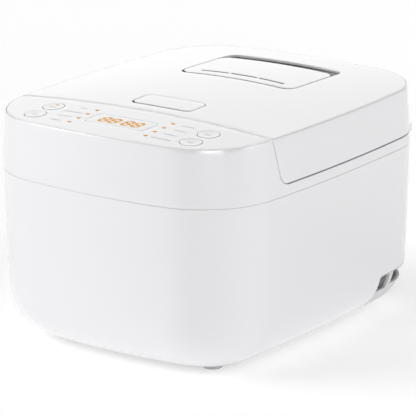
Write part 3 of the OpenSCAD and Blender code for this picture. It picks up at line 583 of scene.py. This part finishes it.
def belt_tongue():
    """An upright band behind the seam, which closes it."""
    low, high, middle, thick, behind = 131.2, 138.4, 134.8, 1.6, 0.75

    def surface(u, z, depth):
        return on_wall(u, BELT_Z + 0 * z, depth + FLARE + behind) + [[0, 0, q - BELT_Z] for q in z]

    return skin(surface, thick, chains=[level(low, 4), level(high, 4)[::-1]], r=0.3, us=WHOLE_LOOP,
                vs=np.array([middle]), span=HALF_LOOP)


def deck():
    """The flat deck round the pot, with slots for the latch hooks."""
    xs, ys = outline(steps(0, TROUGH_U, MESH_STEP), -0.6)
    right = list(zip(xs, ys)) + [(TROUGH_X, 130.5)]
    loop = closed_dense(right + [(-x, y) for x, y in right[::-1]][:-1], 4)
    slots = [rounded_rect(LATCH_SLOT_W, LATCH_SLOT_D, 1, (s * LATCH_X, LATCH_Y)) for s in (-1, 1)]
    return skin(flat_at(DECK_Z), DECK_T, outer=loop, holes=[circle((0, POT_Y), POT_HOLE_R, 128)] + slots,
                r=0.3, us=steps(-122, 122, 7), vs=steps(-146, 146, 7))


def trough():
    """The trough that the hinge lies in, and its two end walls."""
    back = 143.2
    floor_line = (hinge_arc(TROUGH_R, 208.7, 270, 14) + [(back, TROUGH_Z - 0.15), (back, 138.6)]
                  + hinge_arc(TROUGH_R + 1.8, 270, 203.9, 14))
    parts = [sections([-TROUGH_X - 0.5, TROUGH_X + 0.5], lambda x: floor_line)]
    end = hinge_arc(TROUGH_R + 1.7, 204.2, 290, 16) + [(143.0, 145.2), (129.6, 145.2)]
    for s in (-1, 1):
        parts.append(sections(sorted([s * TROUGH_X, s * (TROUGH_X + 1.6)]), lambda x: end))
    return parts


def build_upper_shell():
    console = sections(DIV_XS, lambda x: wall_section(x, -1, WALL, DECK_Z - 0.3))
    parts = [upper_wall(), belt_tongue(), console, deck()] + trough()
    place(join("upper_body", parts), "base", "shell_white", "upper_shell", "console_housing")


# ---------------------------------------------------------------- lid shell
LID_LOW = 146.5


def lid_wall():
    """The lid's wall, with distances counted from the middle of the back."""
    front = [(float(u_side(divider_y(HALF_W, z) + SEAM)) - HALF_LOOP, z)
             for z in line_heights(DIV_U + 2 * SEAM, [LID_LOW])]
    rim_us = steps(HALF_LOOP, front[0][0] + HALF_LOOP, MESH_STEP)[:-1]
    rim = [(float(u) - HALF_LOOP, rim_z(u)) for u in rim_us[::-1]]
    loop = mirrored_loop(np.concatenate([dense([(0, LID_LOW)] + front[::-1], MESH_STEP), np.array(rim)]))
    rows = np.array([148.4, 150.6] + list(np.arange(154, 182, 3.6)))
    return skin(on_wall_back, thinner_at_rim(LID_WALL), outer=loop, r=0.45, us=WHOLE_LOOP, vs=rows)


def apron(x):
    """Section of the curved wall that hides the pin at the rear; it ends at the outer wall."""
    xs, ys = outline(steps(REAR_CORNER_AT, HALF_LOOP, 1), 1.2)
    order = np.argsort(xs)
    limit = float(np.interp(abs(x), xs[order], ys[order]))
    section = hinge_arc(8, -50, 8, 14) + hinge_arc(5.9, -50, 8, 14)[::-1]
    return [(min(y, limit), z) for y, z in section]


def build_lid_shell():
    parts = [lid_wall(), sections(DIV_XS, lambda x: wall_section(x, 1, LID_WALL, LID_LOW)),
             sections(np.linspace(-90, 90, 61), apron)]
    # The four bosses that the lid's screws go into.
    bore, r, low, high = 1.3, 4, 151.3, 163
    for x, y in ((104, -46), (98, 100)):
        for s in (-1, 1):
            parts.append(lathe([(bore, low), (r, low), (r, high), (bore, high)], (s * x, y), 32))
    place(join("lid_body", parts), "lid", "shell_white", "lid_shell")


# ---------------------------------------------------------------- lid top cover and panel
PLATE_IN = RIM_W + 0.2
TOP_GRID = {"us": steps(-121, 121, 4.0), "vs": steps(-146, 146, 4.0)}
# The opening for the steam cap runs from VENT_FRONT to VENT_REAR; the cap ends at CAP_REAR, and the rest
# is the finger gap.
VENT_FRONT, VENT_REAR, CAP_REAR = 36.3, 112.4, 100.9
# The opening for the release plate.
RELEASE_Y, RELEASE_W, RELEASE_D, RELEASE_R = -48.0, 58, 25.6, 6.4


def vent_loop(grow, front, rear):
    """The steam cap's outline grown by grow; its front and rear edges bow to the rear in the middle."""
    half, r = 55.0 + grow, 9.0
    x = half - r
    y0, y1 = front - grow, rear + grow

    def bow(q):
        return 2.6 * (1 - (q / half) ** 2)

    across = np.linspace(-x, x, 37)
    low, high = y0 + bow(x) + r, y1 + bow(x) - r
    pts = [(q, y0 + bow(q)) for q in across]
    pts += list(arc((x, low), r, -90, 0, 10)[1:]) + list(arc((x, high), r, 0, 90, 10)[:-1])
    pts += [(q, y1 + bow(q)) for q in across[::-1]]
    pts += list(arc((-x, high), r, 90, 180, 10)[1:]) + list(arc((-x, low), r, 180, 270, 10)[:-1])
    return closed_dense(pts, 3)


def divider_edge(side, x_end):
    """The edge of a top plate beside the line between panel and lid, from left to right. side is -1 for
    the panel and 1 for the lid."""
    return [(x, float(divider_y(x, RIM_Z)) + side * (SEAM + PLATE_IN))
            for x in np.linspace(-x_end, x_end, 81)]


def build_lid_top_cover():
    xs, ys = outline(steps(float(u_side(DIV_Y + SEAM + PLATE_IN)), HALF_LOOP, 3.0), -PLATE_IN)
    left = list(zip(-xs[::-1], ys[::-1]))[1:-1]
    loop = np.array(divider_edge(1, xs[0])[:-1] + list(zip(xs, ys)) + left)
    openings = [vent_loop(0, VENT_FRONT, VENT_REAR),
                rounded_rect(RELEASE_W, RELEASE_D, RELEASE_R, (0, RELEASE_Y))]
    cover = skin(on_top, PLATE_T, outer=loop, holes=openings, r=0.35, **TOP_GRID)
    place(join("lid_top", [cover]), "lid", "shell_white", "lid_top_cover")


# The panel's keys (body, x, y), its window and its two columns of lights.
KEYS = {"key_left_rear": ("key_1", -73.8, -97.6), "key_left_front": ("key_2", -73.8, -119.75),
        "key_right_rear": ("key_3", 73.8, -97.6), "key_right_front": ("key_4", 73.8, -119.75)}
KEY_HOLE_R, KEY_R = 8.8, 8.55
WINDOW, WINDOW_W, WINDOW_D, WINDOW_R, WINDOW_T = (0.0, -107.9), 56, 21.5, 4, 1.6
LIGHT_X, LIGHT_REAR_Y, LIGHT_PITCH = 36.2, -91.3, 11.45
LIGHT_YS = [LIGHT_REAR_Y - LIGHT_PITCH * i for i in range(4)]
LIGHTS = [(s * LIGHT_X, y) for s in (-1, 1) for y in LIGHT_YS]


def build_panel():
    xs, ys = outline(steps(0, float(u_side(DIV_Y - SEAM - PLATE_IN)), 3.0), -PLATE_IN)
    left = list(zip(-xs[::-1], ys[::-1]))[1:-1]
    loop = np.array(list(zip(xs, ys)) + divider_edge(-1, xs[-1])[::-1][1:] + left)
    holes = [circle((x, y), KEY_HOLE_R, 72) for _, x, y in KEYS.values()]
    holes += [rounded_rect(3.2, 2.3, 0.8, c, 4) for c in LIGHTS]
    gap = 0.15
    holes.append(rounded_rect(WINDOW_W + 2 * gap, WINDOW_D + 2 * gap, WINDOW_R + gap, WINDOW))
    panel = skin(on_top, PLATE_T, outer=loop, holes=holes, r=0.3, **TOP_GRID)
    place(join("panel", [panel]), "base", "shell_white", "control_panel")


def build_display_window():
    lens = skin(on_top, WINDOW_T, outer=rounded_rect(WINDOW_W, WINDOW_D, WINDOW_R, WINDOW), r=0.22,
                us=steps(-28, 28, 4), vs=steps(-120, -96, 4))
    place(join("display_window", [lens]), "base", "lens", "display_lens")


# ---------------------------------------------------------------- keys, digits, lights and marks
def on_panel(x, y):
    """A frame that stands square on the panel."""
    tilt = Euler((math.atan(SLOPE), math.atan(2 * CROWN * x / HALF_W ** 2), 0)).to_matrix().to_4x4()
    return Matrix.Translation((x, y, float(top_z(x, y)))) @ tilt


def build_key(name, body, x, y):
    """A round key with a rounded edge and a slightly hollow face, a flange below it and a stem."""
    r, face_r, rise, dish = KEY_R, KEY_R - 0.8, 0.2, 0.35
    profile = [(0, -2.6), (r, -2.6), (r, -0.35), (r - 0.1, -0.05), (r - 0.35, 0.14), (face_r, rise)]
    profile += [(q, rise - dish * (1 - (q / face_r) ** 2)) for q in (6.4, 4.8, 3.2, 1.6, 0)]
    flange_r, flange_low, flange_high = r + 1.1, -3.2, -2.2
    stem_r, stem_low, stem_high = 2, 174.6, 181.5
    square = on_panel(x, y)
    parts = [lathe(profile, matrix=square), cylinder(flange_r, flange_low, flange_high, matrix=square),
             cylinder(stem_r, stem_low, stem_high, (x, y), 32)]
    place(join(name + "_cap", parts, 30), body, "key_white", name)


def bar(centre, length, upright, w=0.95):
    """One pointed bar of a digit, 2 w thick."""
    h = length / 2 - 0.2
    pts = np.array([(-h, 0), (-h + w, -w), (h - w, -w), (h, 0), (h - w, w), (-h + w, w)])
    if upright:
        pts = pts[:, ::-1] * [-1, 1]
    return pts + centre


def slanted(p):
    return np.stack([p[:, 0] + 0.14 * p[:, 1], p[:, 1]], 1)


def build_digits():
    """Four digits with all seven bars lit, and a colon."""
    w, h = 5.8, 10.2
    bars = [bar((0, s * h / 2), w, False) for s in (-1, 0, 1)]
    bars += [bar((s * w / 2, t * h / 4), h / 2, True) for s in (-1, 1) for t in (-1, 1)]
    shapes = [slanted(s) + [x, WINDOW[1]] for x in (-15.4, -6.2, 6.2, 15.4) for s in bars]
    shapes += [slanted(circle((0, y), 0.7, 20)) + [0, WINDOW[1]] for y in (-2.3, 2.3)]
    parts = [raised(s, -0.3, 0.035) for s in shapes]
    place(join("digits", parts), "base", "light_orange", "display_digits")


def build_lights():
    """The lights of the panel, and the small lamp on one key."""
    parts = [raised(rounded_rect(3.1, 2.2, 0.75, c, 4), -2.6, 0.06) for c in LIGHTS]
    place(join("lights", parts), "base", "light_orange", "indicator_lights")
    body, x, y = KEYS["key_left_rear"]
    lamp = raised(rounded_rect(2.8, 1.6, 0.6, (x, y + 5.2), 4), -0.8, 0.12)
    place(join("lamp", [lamp]), body, "light_orange", "key_lamp")


# A plain dash stands for each printed label: (gap, length) outwards from each light, on both sides.
DASHES = {-1: [(9, 7), (4.5, 20), (6.5, 14), (8.5, 10)], 1: [(9, 11), (9, 12), (8, 13), (4.5, 19)]}


def dash(centre, length, above, below=0.3, tall=1.0):
    return raised(rounded_rect(length, tall, 0.45, centre, 4, 2.0), -below, above)


def build_marks():
    parts = [dash((s * (LIGHT_X + gap + length / 2), y), length, 0.02)
             for s, rows in DASHES.items() for y, (gap, length) in zip(LIGHT_YS, rows)]
    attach(join("panel_marks", parts), "base")
    for name, (body, x, y) in KEYS.items():
        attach(join(name + "_mark", [dash((x, y - 0.6), 7.5, -0.1, 0.6)]), body)


# ---------------------------------------------------------------- release plate and steam cap
def build_release_plate():
    """A thin white plate over a backing coloured dark as painted shade in the gap round it, with the pin
    that it turns on, the block that pushes the latch and the two feet that join pin and plate."""
    white_t, dark_t, dark_from = 0.55, 1.43, 0.57
    centre = (0, RELEASE_Y + 0.9)
    grid = {"us": steps(-28, 28, 3.5), "vs": steps(-60, -35, 3.5)}
    plate = skin(on_top, white_t, outer=rounded_rect(56.4, 23.0, 5.8, centre), r=0.22, **grid)
    # The backing's dark colour is painted shade for the gap round the plate.
    shade_backing = skin(below_top(dark_from), dark_t, outer=rounded_rect(56.7, 23.3, 5.9, centre), r=0.15,
                   **grid)
    place(join("plate_backing", [shade_backing]), "release", "dark_plastic")
    parts = [plate, rod_part((-33.8, 33.8), -38.2, 183.4, 1.5),
             box_part((-5, 5), (-59, -56.4), (178.4, 185.6))]
    parts += [box_part((x, x + 4), (-39.7, -36.7), (182.4, 186.2)) for x in (-24, 20)]
    place(join("release_plate", parts), "release", "key_white", "release_button")


def cap_slot(k):
    """One of the cap's three slots, bowed with its front edge."""
    pitch = 27.4
    slot = rounded_rect(25.9, 2.8, 1.0, (pitch * k, 52.6), 4)
    return np.array([(x, y - 1.2 * (x / pitch) ** 2) for x, y in slot])


def build_steam_cap():
    """A thin white cover with three slots, over a skirt coloured dark to paint the shade in the gap round
    it.
    """
    white_t, dark_t, dark_from = 0.5, 2.6, 0.52
    grid = {"us": steps(-55, 55, MESH_STEP), "vs": steps(34, 104, MESH_STEP)}
    ends = (VENT_FRONT + 1.4, CAP_REAR)
    slots = [cap_slot(k) for k in (-1, 0, 1)]
    cover = skin(on_top, white_t, outer=vent_loop(-1.0, *ends), holes=slots, r=0.2, **grid)
    place(join("cap_cover", [cover]), "steam_cap", "shell_white", "vent_cover")
    inside_line = vent_loop(-3.4, *ends)
    # The skirt's dark colour is painted shade for the gap round the cap.
    shade_skirt = skin(below_top(dark_from), dark_t, outer=vent_loop(-0.85, *ends), holes=[inside_line], r=0.15,
                 **grid)
    place(join("cap_skirt", [shade_skirt]), "steam_cap", "dark_plastic")


# ---------------------------------------------------------------- base part
# The gap between the base part and the lower shell's cut.
BASE_GAP = 0.3
BASE_WALL, BASE_LOW = 2.7, 7.9
SLOT_FIRST, SLOT_PITCH, SLOT_COUNT = -58, 8, 6


def wall_hole(u0, u1, z, tall, r=1.2):
    """A hole in the base part's wall, between two distances from the middle of the back."""
    return rounded_rect(u1 - u0, tall, r, ((u0 + u1) / 2, z), 4)


def side_u(y):
    """Distance from the middle of the back at which the side wall passes y."""
    return float(u_side(y)) - HALF_LOOP


def back_u(x):
    """Distance from the middle of the back at which the base part's back wall passes x."""
    us = np.linspace(REAR_CORNER_AT, HALF_LOOP, 400)
    xs, _ = outline(us, -7)
    return float(np.interp(-x, -xs, us)) - HALF_LOOP


def base_wall():
    """The part's wall, with two windows at each side, the mains inlet's and six slots in the back."""
    start, r = CUT_U + BASE_GAP, CUT_R - BASE_GAP
    corner = arc((start + r - HALF_LOOP, CUT_CENTRE), r, 180, 90, 8)
    edge = [(start - HALF_LOOP, BASE_LOW)] + [tuple(p) for p in corner] + [(0, CUT_HIGH - BASE_GAP)]
    edge = dense(edge, 3.0)
    loop = np.concatenate([edge, edge[::-1][1:] * [-1, 1]])
    loop = np.concatenate([loop, dense([loop[-1], loop[0]], 3.0)[1:-1]])
    corner_turn = math.acos((100 - REAR_CORNER[0]) / REAR_CORNER_R) - SIDE_END
    window_end = REAR_CORNER_AT + corner_turn * REAR_CORNER_R - HALF_LOOP
    holes = [wall_hole(side_u(71.4), side_u(86.8), 30.5, 13), wall_hole(side_u(92.0), window_end, 31.5, 11)]
    holes += [h * [-1, 1] for h in holes]
    holes.append(wall_hole(back_u(78.3), back_u(49.7), 23.5, 19.6, 1.0))
    for i in range(SLOT_COUNT):
        x = -back_u(-(SLOT_FIRST + SLOT_PITCH * i))
        holes.append(rounded_rect(4, 15, 1.2, (x, 25.5), 4))
    rows = np.array([10, 12.5, 15, 18, 21, 24, 27, 30, 33, 35.5])
    return skin(on_wall_back, BASE_WALL, outer=loop, holes=holes, r=0.35,
                us=steps(-HALF_LOOP, HALF_LOOP, 3.0), vs=rows)


def base_ring(us, heights):
    """The turned-in edge at the bottom, as rings of points down its outside and up its inside."""
    verts = []
    for rows, off, lift in ((heights, -0.1, 0), (heights[::-1], -2.2, 1.6)):
        for z in rows:
            x, y = outline(us, float(wall_off(z)) + off)
            verts += [(a, b, z + lift) for a, b in zip(x, y)]
    n, m = len(us), 2 * len(heights)
    faces = [(j * n + i, j * n + (i + 1) % n, ((j + 1) % m) * n + (i + 1) % n, ((j + 1) % m) * n + i)
             for j in range(m) for i in range(n)]
    return verts, faces


def base_floor(us, z):
    """The floor, with seven vent slots and a hole for each base screw."""
    x, y = outline(us, float(wall_off(z)) - 0.6)
    holes = [rounded_rect(60, 4, 1.4, (0, 22 + 9 * i), 4) for i in range(-3, 4)]
    holes += [circle(c, 3.1, 24) for c in ((50, -108), (-50, -108), (86, 40), (-86, 40))]
    return skin(flat_at(6.0), 2.4, outer=np.stack([x, y], 1), holes=holes, r=0.3, us=steps(-90, 90, 8),
                vs=steps(-116, 116, 8))


def build_base_part():
    us = np.linspace(-HALF_LOOP, HALF_LOOP, 241)[:-1]
    heights = [BASE_LOW, 7.0, 6.1, 5.3, 4.6, 4.1, 3.75, 3.62]
    parts = [base_wall(), base_ring(us, heights), base_floor(us, heights[-1])]
    # The four posts that the power board stands on.
    parts += [cylinder(3, 5.5, 20, (x, y), 24) for x in (-40, 40) for y in (-110, -72)]
    place(join("base_cover", parts), "base", "base_grey", "base_tray")


def build_pot_spring():
    """The pot sensor's spring, a copy of the CAD's."""
    spring = linked("pot_spring", frame["nodes"]["sensor_spring"].data.copy())
    place(spring, "base", "steel", "sensor_spring")
    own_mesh(spring)


build_lower_shell()
build_upper_shell()
build_lid_shell()
build_lid_top_cover()
build_panel()
build_display_window()
for key, spot in KEYS.items():
    build_key(key, *spot)
build_digits()
build_lights()
build_marks()
build_release_plate()
build_steam_cap()
build_base_part()
build_pot_spring()


# ---------------------------------------------------------------- materials
def add_node(tree, kind, values=None, **props):
    """A new node with the values of its inputs, by name or number, and its properties."""
    node = tree.nodes.new(kind)
    for key, value in props.items():
        setattr(node, key, value)
    for key, value in (values or {}).items():
        node.inputs[key].default_value = value
    return node


def material(name, dark, light, rough, scale=40.0, bump=0.0, metal=0.0, coat=0.0, coat_rough=0.1,
             coat_ior=1.5, spec=0.5, glow=0.0, stretch=(1, 1, 1)):
    """A finish whose colour goes from dark to light, and its roughness between two values, with one
    noise. A second, fine noise gives the bump."""
    m = bpy.data.materials.new(name)
    m.use_nodes = True
    tree = m.node_tree
    link = tree.links.new
    bsdf = tree.nodes["Principled BSDF"]
    place_of = add_node(tree, "ShaderNodeTexCoord")
    mapping = add_node(tree, "ShaderNodeMapping", {"Scale": stretch})
    noise = add_node(tree, "ShaderNodeTexNoise", {"Scale": scale, "Detail": 4})
    colour = add_node(tree, "ShaderNodeMix", data_type="RGBA")
    colour.inputs["A"].default_value = (*dark, 1)
    colour.inputs["B"].default_value = (*light, 1)
    roughness = add_node(tree, "ShaderNodeMapRange", {"To Min": rough[0], "To Max": rough[1]})
    link(place_of.outputs["Object"], mapping.inputs["Vector"])
    link(mapping.outputs["Vector"], noise.inputs["Vector"])
    link(noise.outputs["Fac"], colour.inputs["Factor"])
    link(noise.outputs["Fac"], roughness.inputs["Value"])
    link(colour.outputs["Result"], bsdf.inputs["Base Color"])
    link(roughness.outputs["Result"], bsdf.inputs["Roughness"])
    finish = {"Metallic": metal, "Coat Weight": coat, "Coat Roughness": coat_rough, "Coat IOR": coat_ior,
              "Specular IOR Level": spec}
    for key, value in finish.items():
        bsdf.inputs[key].default_value = value
    if glow:
        link(colour.outputs["Result"], bsdf.inputs["Emission Color"])
        bsdf.inputs["Emission Strength"].default_value = glow
    if bump:
        fine = add_node(tree, "ShaderNodeTexNoise", {"Scale": 900.0, "Detail": 3})
        relief = add_node(tree, "ShaderNodeBump", {"Strength": bump, "Distance": 0.0002})
        link(mapping.outputs["Vector"], fine.inputs["Vector"])
        link(fine.outputs["Fac"], relief.inputs["Height"])
        link(relief.outputs["Normal"], bsdf.inputs["Normal"])
    return m


WHITE = ((0.702, 0.695, 0.713), (0.712, 0.705, 0.723), (0.3, 0.34))
GLOSS = {"coat": 1.0, "coat_ior": 1.9, "spec": 0.8}
MATERIALS = {
    "shell_white": material("white_shell", *WHITE, scale=25, coat_rough=0.14, **GLOSS),
    "key_white": material("white_key", *WHITE, scale=40, coat_rough=0.12, **GLOSS),
    "base_grey": material("grey_base", (0.58, 0.58, 0.588), (0.62, 0.62, 0.628), (0.4, 0.5), 60, 0.12),
    # dark_plastic also serves as painted shade under the steam cap and the release plate and in the vent
    # tray.
    "dark_plastic": material("dark_plastic", (0.05, 0.05, 0.052), (0.07, 0.07, 0.072), (0.4, 0.55), 60,
                             0.15),
    "lens": material("window_lens", (0.82, 0.825, 0.83), (0.84, 0.84, 0.845), (0.08, 0.12), 20, coat=0.5),
    "light_orange": material("orange_light", (0.56, 0.25, 0.006), (0.6, 0.27, 0.009), (0.5, 0.6), 200,
                             glow=0.5, spec=0.0),
    "steel": material("steel", (0.5, 0.51, 0.52), (0.62, 0.63, 0.64), (0.29, 0.38), 60, 0.05, metal=1.0,
                      stretch=(1, 1, 12)),
    "aluminium": material("aluminium", (0.62, 0.63, 0.64), (0.72, 0.73, 0.74), (0.3, 0.42), 40, 0.08,
                          metal=1.0),
    "pot_coating": material("pot_coating", (0.02, 0.02, 0.022), (0.12, 0.12, 0.125), (0.32, 0.5), 700, 0.1),
    "heater_foil": material("heater_foil", (0.3, 0.1, 0.05), (0.38, 0.15, 0.07), (0.35, 0.5), 50,
                            metal=0.6),
    "ceramic": material("ceramic", (0.72, 0.68, 0.6), (0.78, 0.74, 0.66), (0.6, 0.75), 80, 0.1),
    "silicone": material("silicone", (0.62, 0.6, 0.57), (0.68, 0.66, 0.63), (0.42, 0.55), 60, 0.05),
    "foot_rubber": material("foot_rubber", (0.42, 0.42, 0.43), (0.48, 0.48, 0.49), (0.65, 0.8), 90, 0.2),
    "circuit_board": material("circuit_board", (0.01, 0.08, 0.03), (0.02, 0.13, 0.05), (0.35, 0.5), 150,
                              0.1),
    "relay_blue": material("relay_blue", (0.01, 0.05, 0.28), (0.02, 0.07, 0.33), (0.35, 0.45), 60),
    "winding_tape": material("winding_tape", (0.55, 0.38, 0.03), (0.65, 0.45, 0.05), (0.4, 0.55), 80, 0.1),
    "wire_insulation": material("wire_insulation", (0.32, 0.03, 0.02), (0.4, 0.05, 0.03), (0.4, 0.5), 60),
}


def dress_pieces():
    """Gives each piece its slot's material, apart from the few that have another."""
    mark = material("mark_grey", (0.42, 0.42, 0.43), (0.5, 0.5, 0.51), (0.5, 0.6), 300)
    screen = material("screen_grey", (0.36, 0.36, 0.365), (0.42, 0.42, 0.425), (0.55, 0.7), 900, 0.3)
    # The tray under the steam cap gets dark plastic as painted shade, seen through the cap's slots.
    own = {"vent_screens": screen, "vent_tray": MATERIALS["dark_plastic"], "panel_marks": mark}
    own.update({name + "_mark": mark for name in KEYS})
    slot_of = {part["node"]: part["material_slot"] for part in frame["record"]["subparts"]}
    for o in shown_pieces():
        o.data.materials.clear()
        o.data.materials.append(own.get(o.name) or MATERIALS[o.get("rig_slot") or slot_of[o.name]])


dress_pieces()

# ---------------------------------------------------------------- floor and light
# Four softboxes stand around the object, below a soft ceiling. Each has a heading in degrees from the front
# of the object to its right, a half width in degrees and a strength; its light fades out over the outer
# half of its width. Between them the room gives FILL.
SOFTBOXES = {"rear left": (-150, 30, 1.4), "left front": (-55, 25, 5.2), "right front": (45, 20, 3.4),
             "right side": (110, 20, 3)}
FILL = 0.05
# The ceiling's strength, and between which shares of the way up it takes over.
CEILING, CEILING_FROM, CEILING_TO = 0.35, 0.4, 0.85
# The strength that stands for 1 in the world's colours.
FULL = 6.0
FLOOR_GLOW = 0.36


def light_ring():
    """(heading, strength) all the way round, from the rear over the left side, the front and the right."""
    ring = [(-180, FILL)]
    for middle, half, strength in SOFTBOXES.values():
        ring += [(middle - half, FILL), (middle - half / 2, strength), (middle + half / 2, strength),
                 (middle + half, FILL)]
    return ring + [(180, FILL)]


def grey(strength):
    return (strength / FULL, strength / FULL, strength / FULL, 1)


def by_heading(tree, direction, ring):
    """Nodes that give the ring's greys by the heading of a direction socket."""
    link = tree.links.new
    xyz = add_node(tree, "ShaderNodeSeparateXYZ")
    forward = add_node(tree, "ShaderNodeMath", {1: -1}, operation="MULTIPLY")
    turn = add_node(tree, "ShaderNodeMath", operation="ARCTAN2")
    share = add_node(tree, "ShaderNodeMapRange", {"From Min": -math.pi, "From Max": math.pi})
    ramp = add_node(tree, "ShaderNodeValToRGB")
    for degrees, _ in ring[1:-1]:
        ramp.color_ramp.elements.new((degrees + 180) / 360)
    stops = sorted(ramp.color_ramp.elements, key=lambda stop: stop.position)
    for (_, strength), stop in zip(ring, stops):
        stop.color = grey(strength)
    link(direction, xyz.inputs[0])
    link(xyz.outputs["Y"], forward.inputs[0])
    link(xyz.outputs["X"], turn.inputs[0])
    link(forward.outputs[0], turn.inputs[1])
    link(turn.outputs[0], share.inputs["Value"])
    link(share.outputs[0], ramp.inputs[0])
    return ramp.outputs[0]


def build_floor():
    bpy.ops.mesh.primitive_plane_add(size=30, location=(0, 0, 0))
    floor = bpy.context.object
    floor.name = "floor"
    white = material("floor_white", (0.9, 0.9, 0.9), (0.91, 0.91, 0.91), (0.7, 0.8), 3, glow=FLOOR_GLOW)
    floor.data.materials.append(white)


def build_world():
    world = bpy.data.worlds.new("studio")
    world.use_nodes = True
    tree = world.node_tree
    link = tree.links.new
    looking = add_node(tree, "ShaderNodeTexCoord").outputs["Generated"]
    height = add_node(tree, "ShaderNodeSeparateXYZ")
    share = add_node(tree, "ShaderNodeMapRange", {"From Min": CEILING_FROM, "From Max": CEILING_TO},
                     interpolation_type="SMOOTHSTEP")
    mix = add_node(tree, "ShaderNodeMix", data_type="RGBA")
    mix.inputs["B"].default_value = grey(CEILING)
    background = tree.nodes["Background"]
    background.inputs["Strength"].default_value = FULL
    link(looking, height.inputs[0])
    link(height.outputs["Z"], share.inputs["Value"])
    link(by_heading(tree, looking, light_ring()), mix.inputs["A"])
    link(share.outputs[0], mix.inputs["Factor"])
    link(mix.outputs["Result"], background.inputs["Color"])
    bpy.context.scene.world = world


# ---------------------------------------------------------------- camera
# The photo's view, found by fitting it to points of the outline and the seams: angles in degrees, lengths
# in metres.
AZIMUTH, ELEVATION, ROLL = 36.0797, 16.2607, -0.4027
DISTANCE, TARGET = 2.5388, (-0.00961, 0.01552, 0.08648)
LENS_MM, SENSOR_MM = 276.1, 36


def build_camera():
    data = bpy.data.cameras.new("camera")
    data.sensor_width = SENSOR_MM
    data.lens = LENS_MM
    data.clip_end = 100
    camera = linked("camera", data)
    az, el, roll = math.radians(AZIMUTH), math.radians(ELEVATION), math.radians(ROLL)
    back = Vector((math.sin(az) * math.cos(el), -math.cos(az) * math.cos(el), math.sin(el)))
    side = Vector((math.cos(az), math.sin(az), 0))
    up = back.cross(side)
    across = side * math.cos(roll) + up * math.sin(roll)
    upright = up * math.cos(roll) - side * math.sin(roll)
    turn = Matrix((across, upright, back)).transposed().to_4x4()
    camera.matrix_world = Matrix.Translation(Vector(TARGET) + back * DISTANCE) @ turn
    bpy.context.scene.camera = camera
    bpy.context.scene.view_settings.view_transform = "Standard"


build_floor()
build_world()
build_camera()
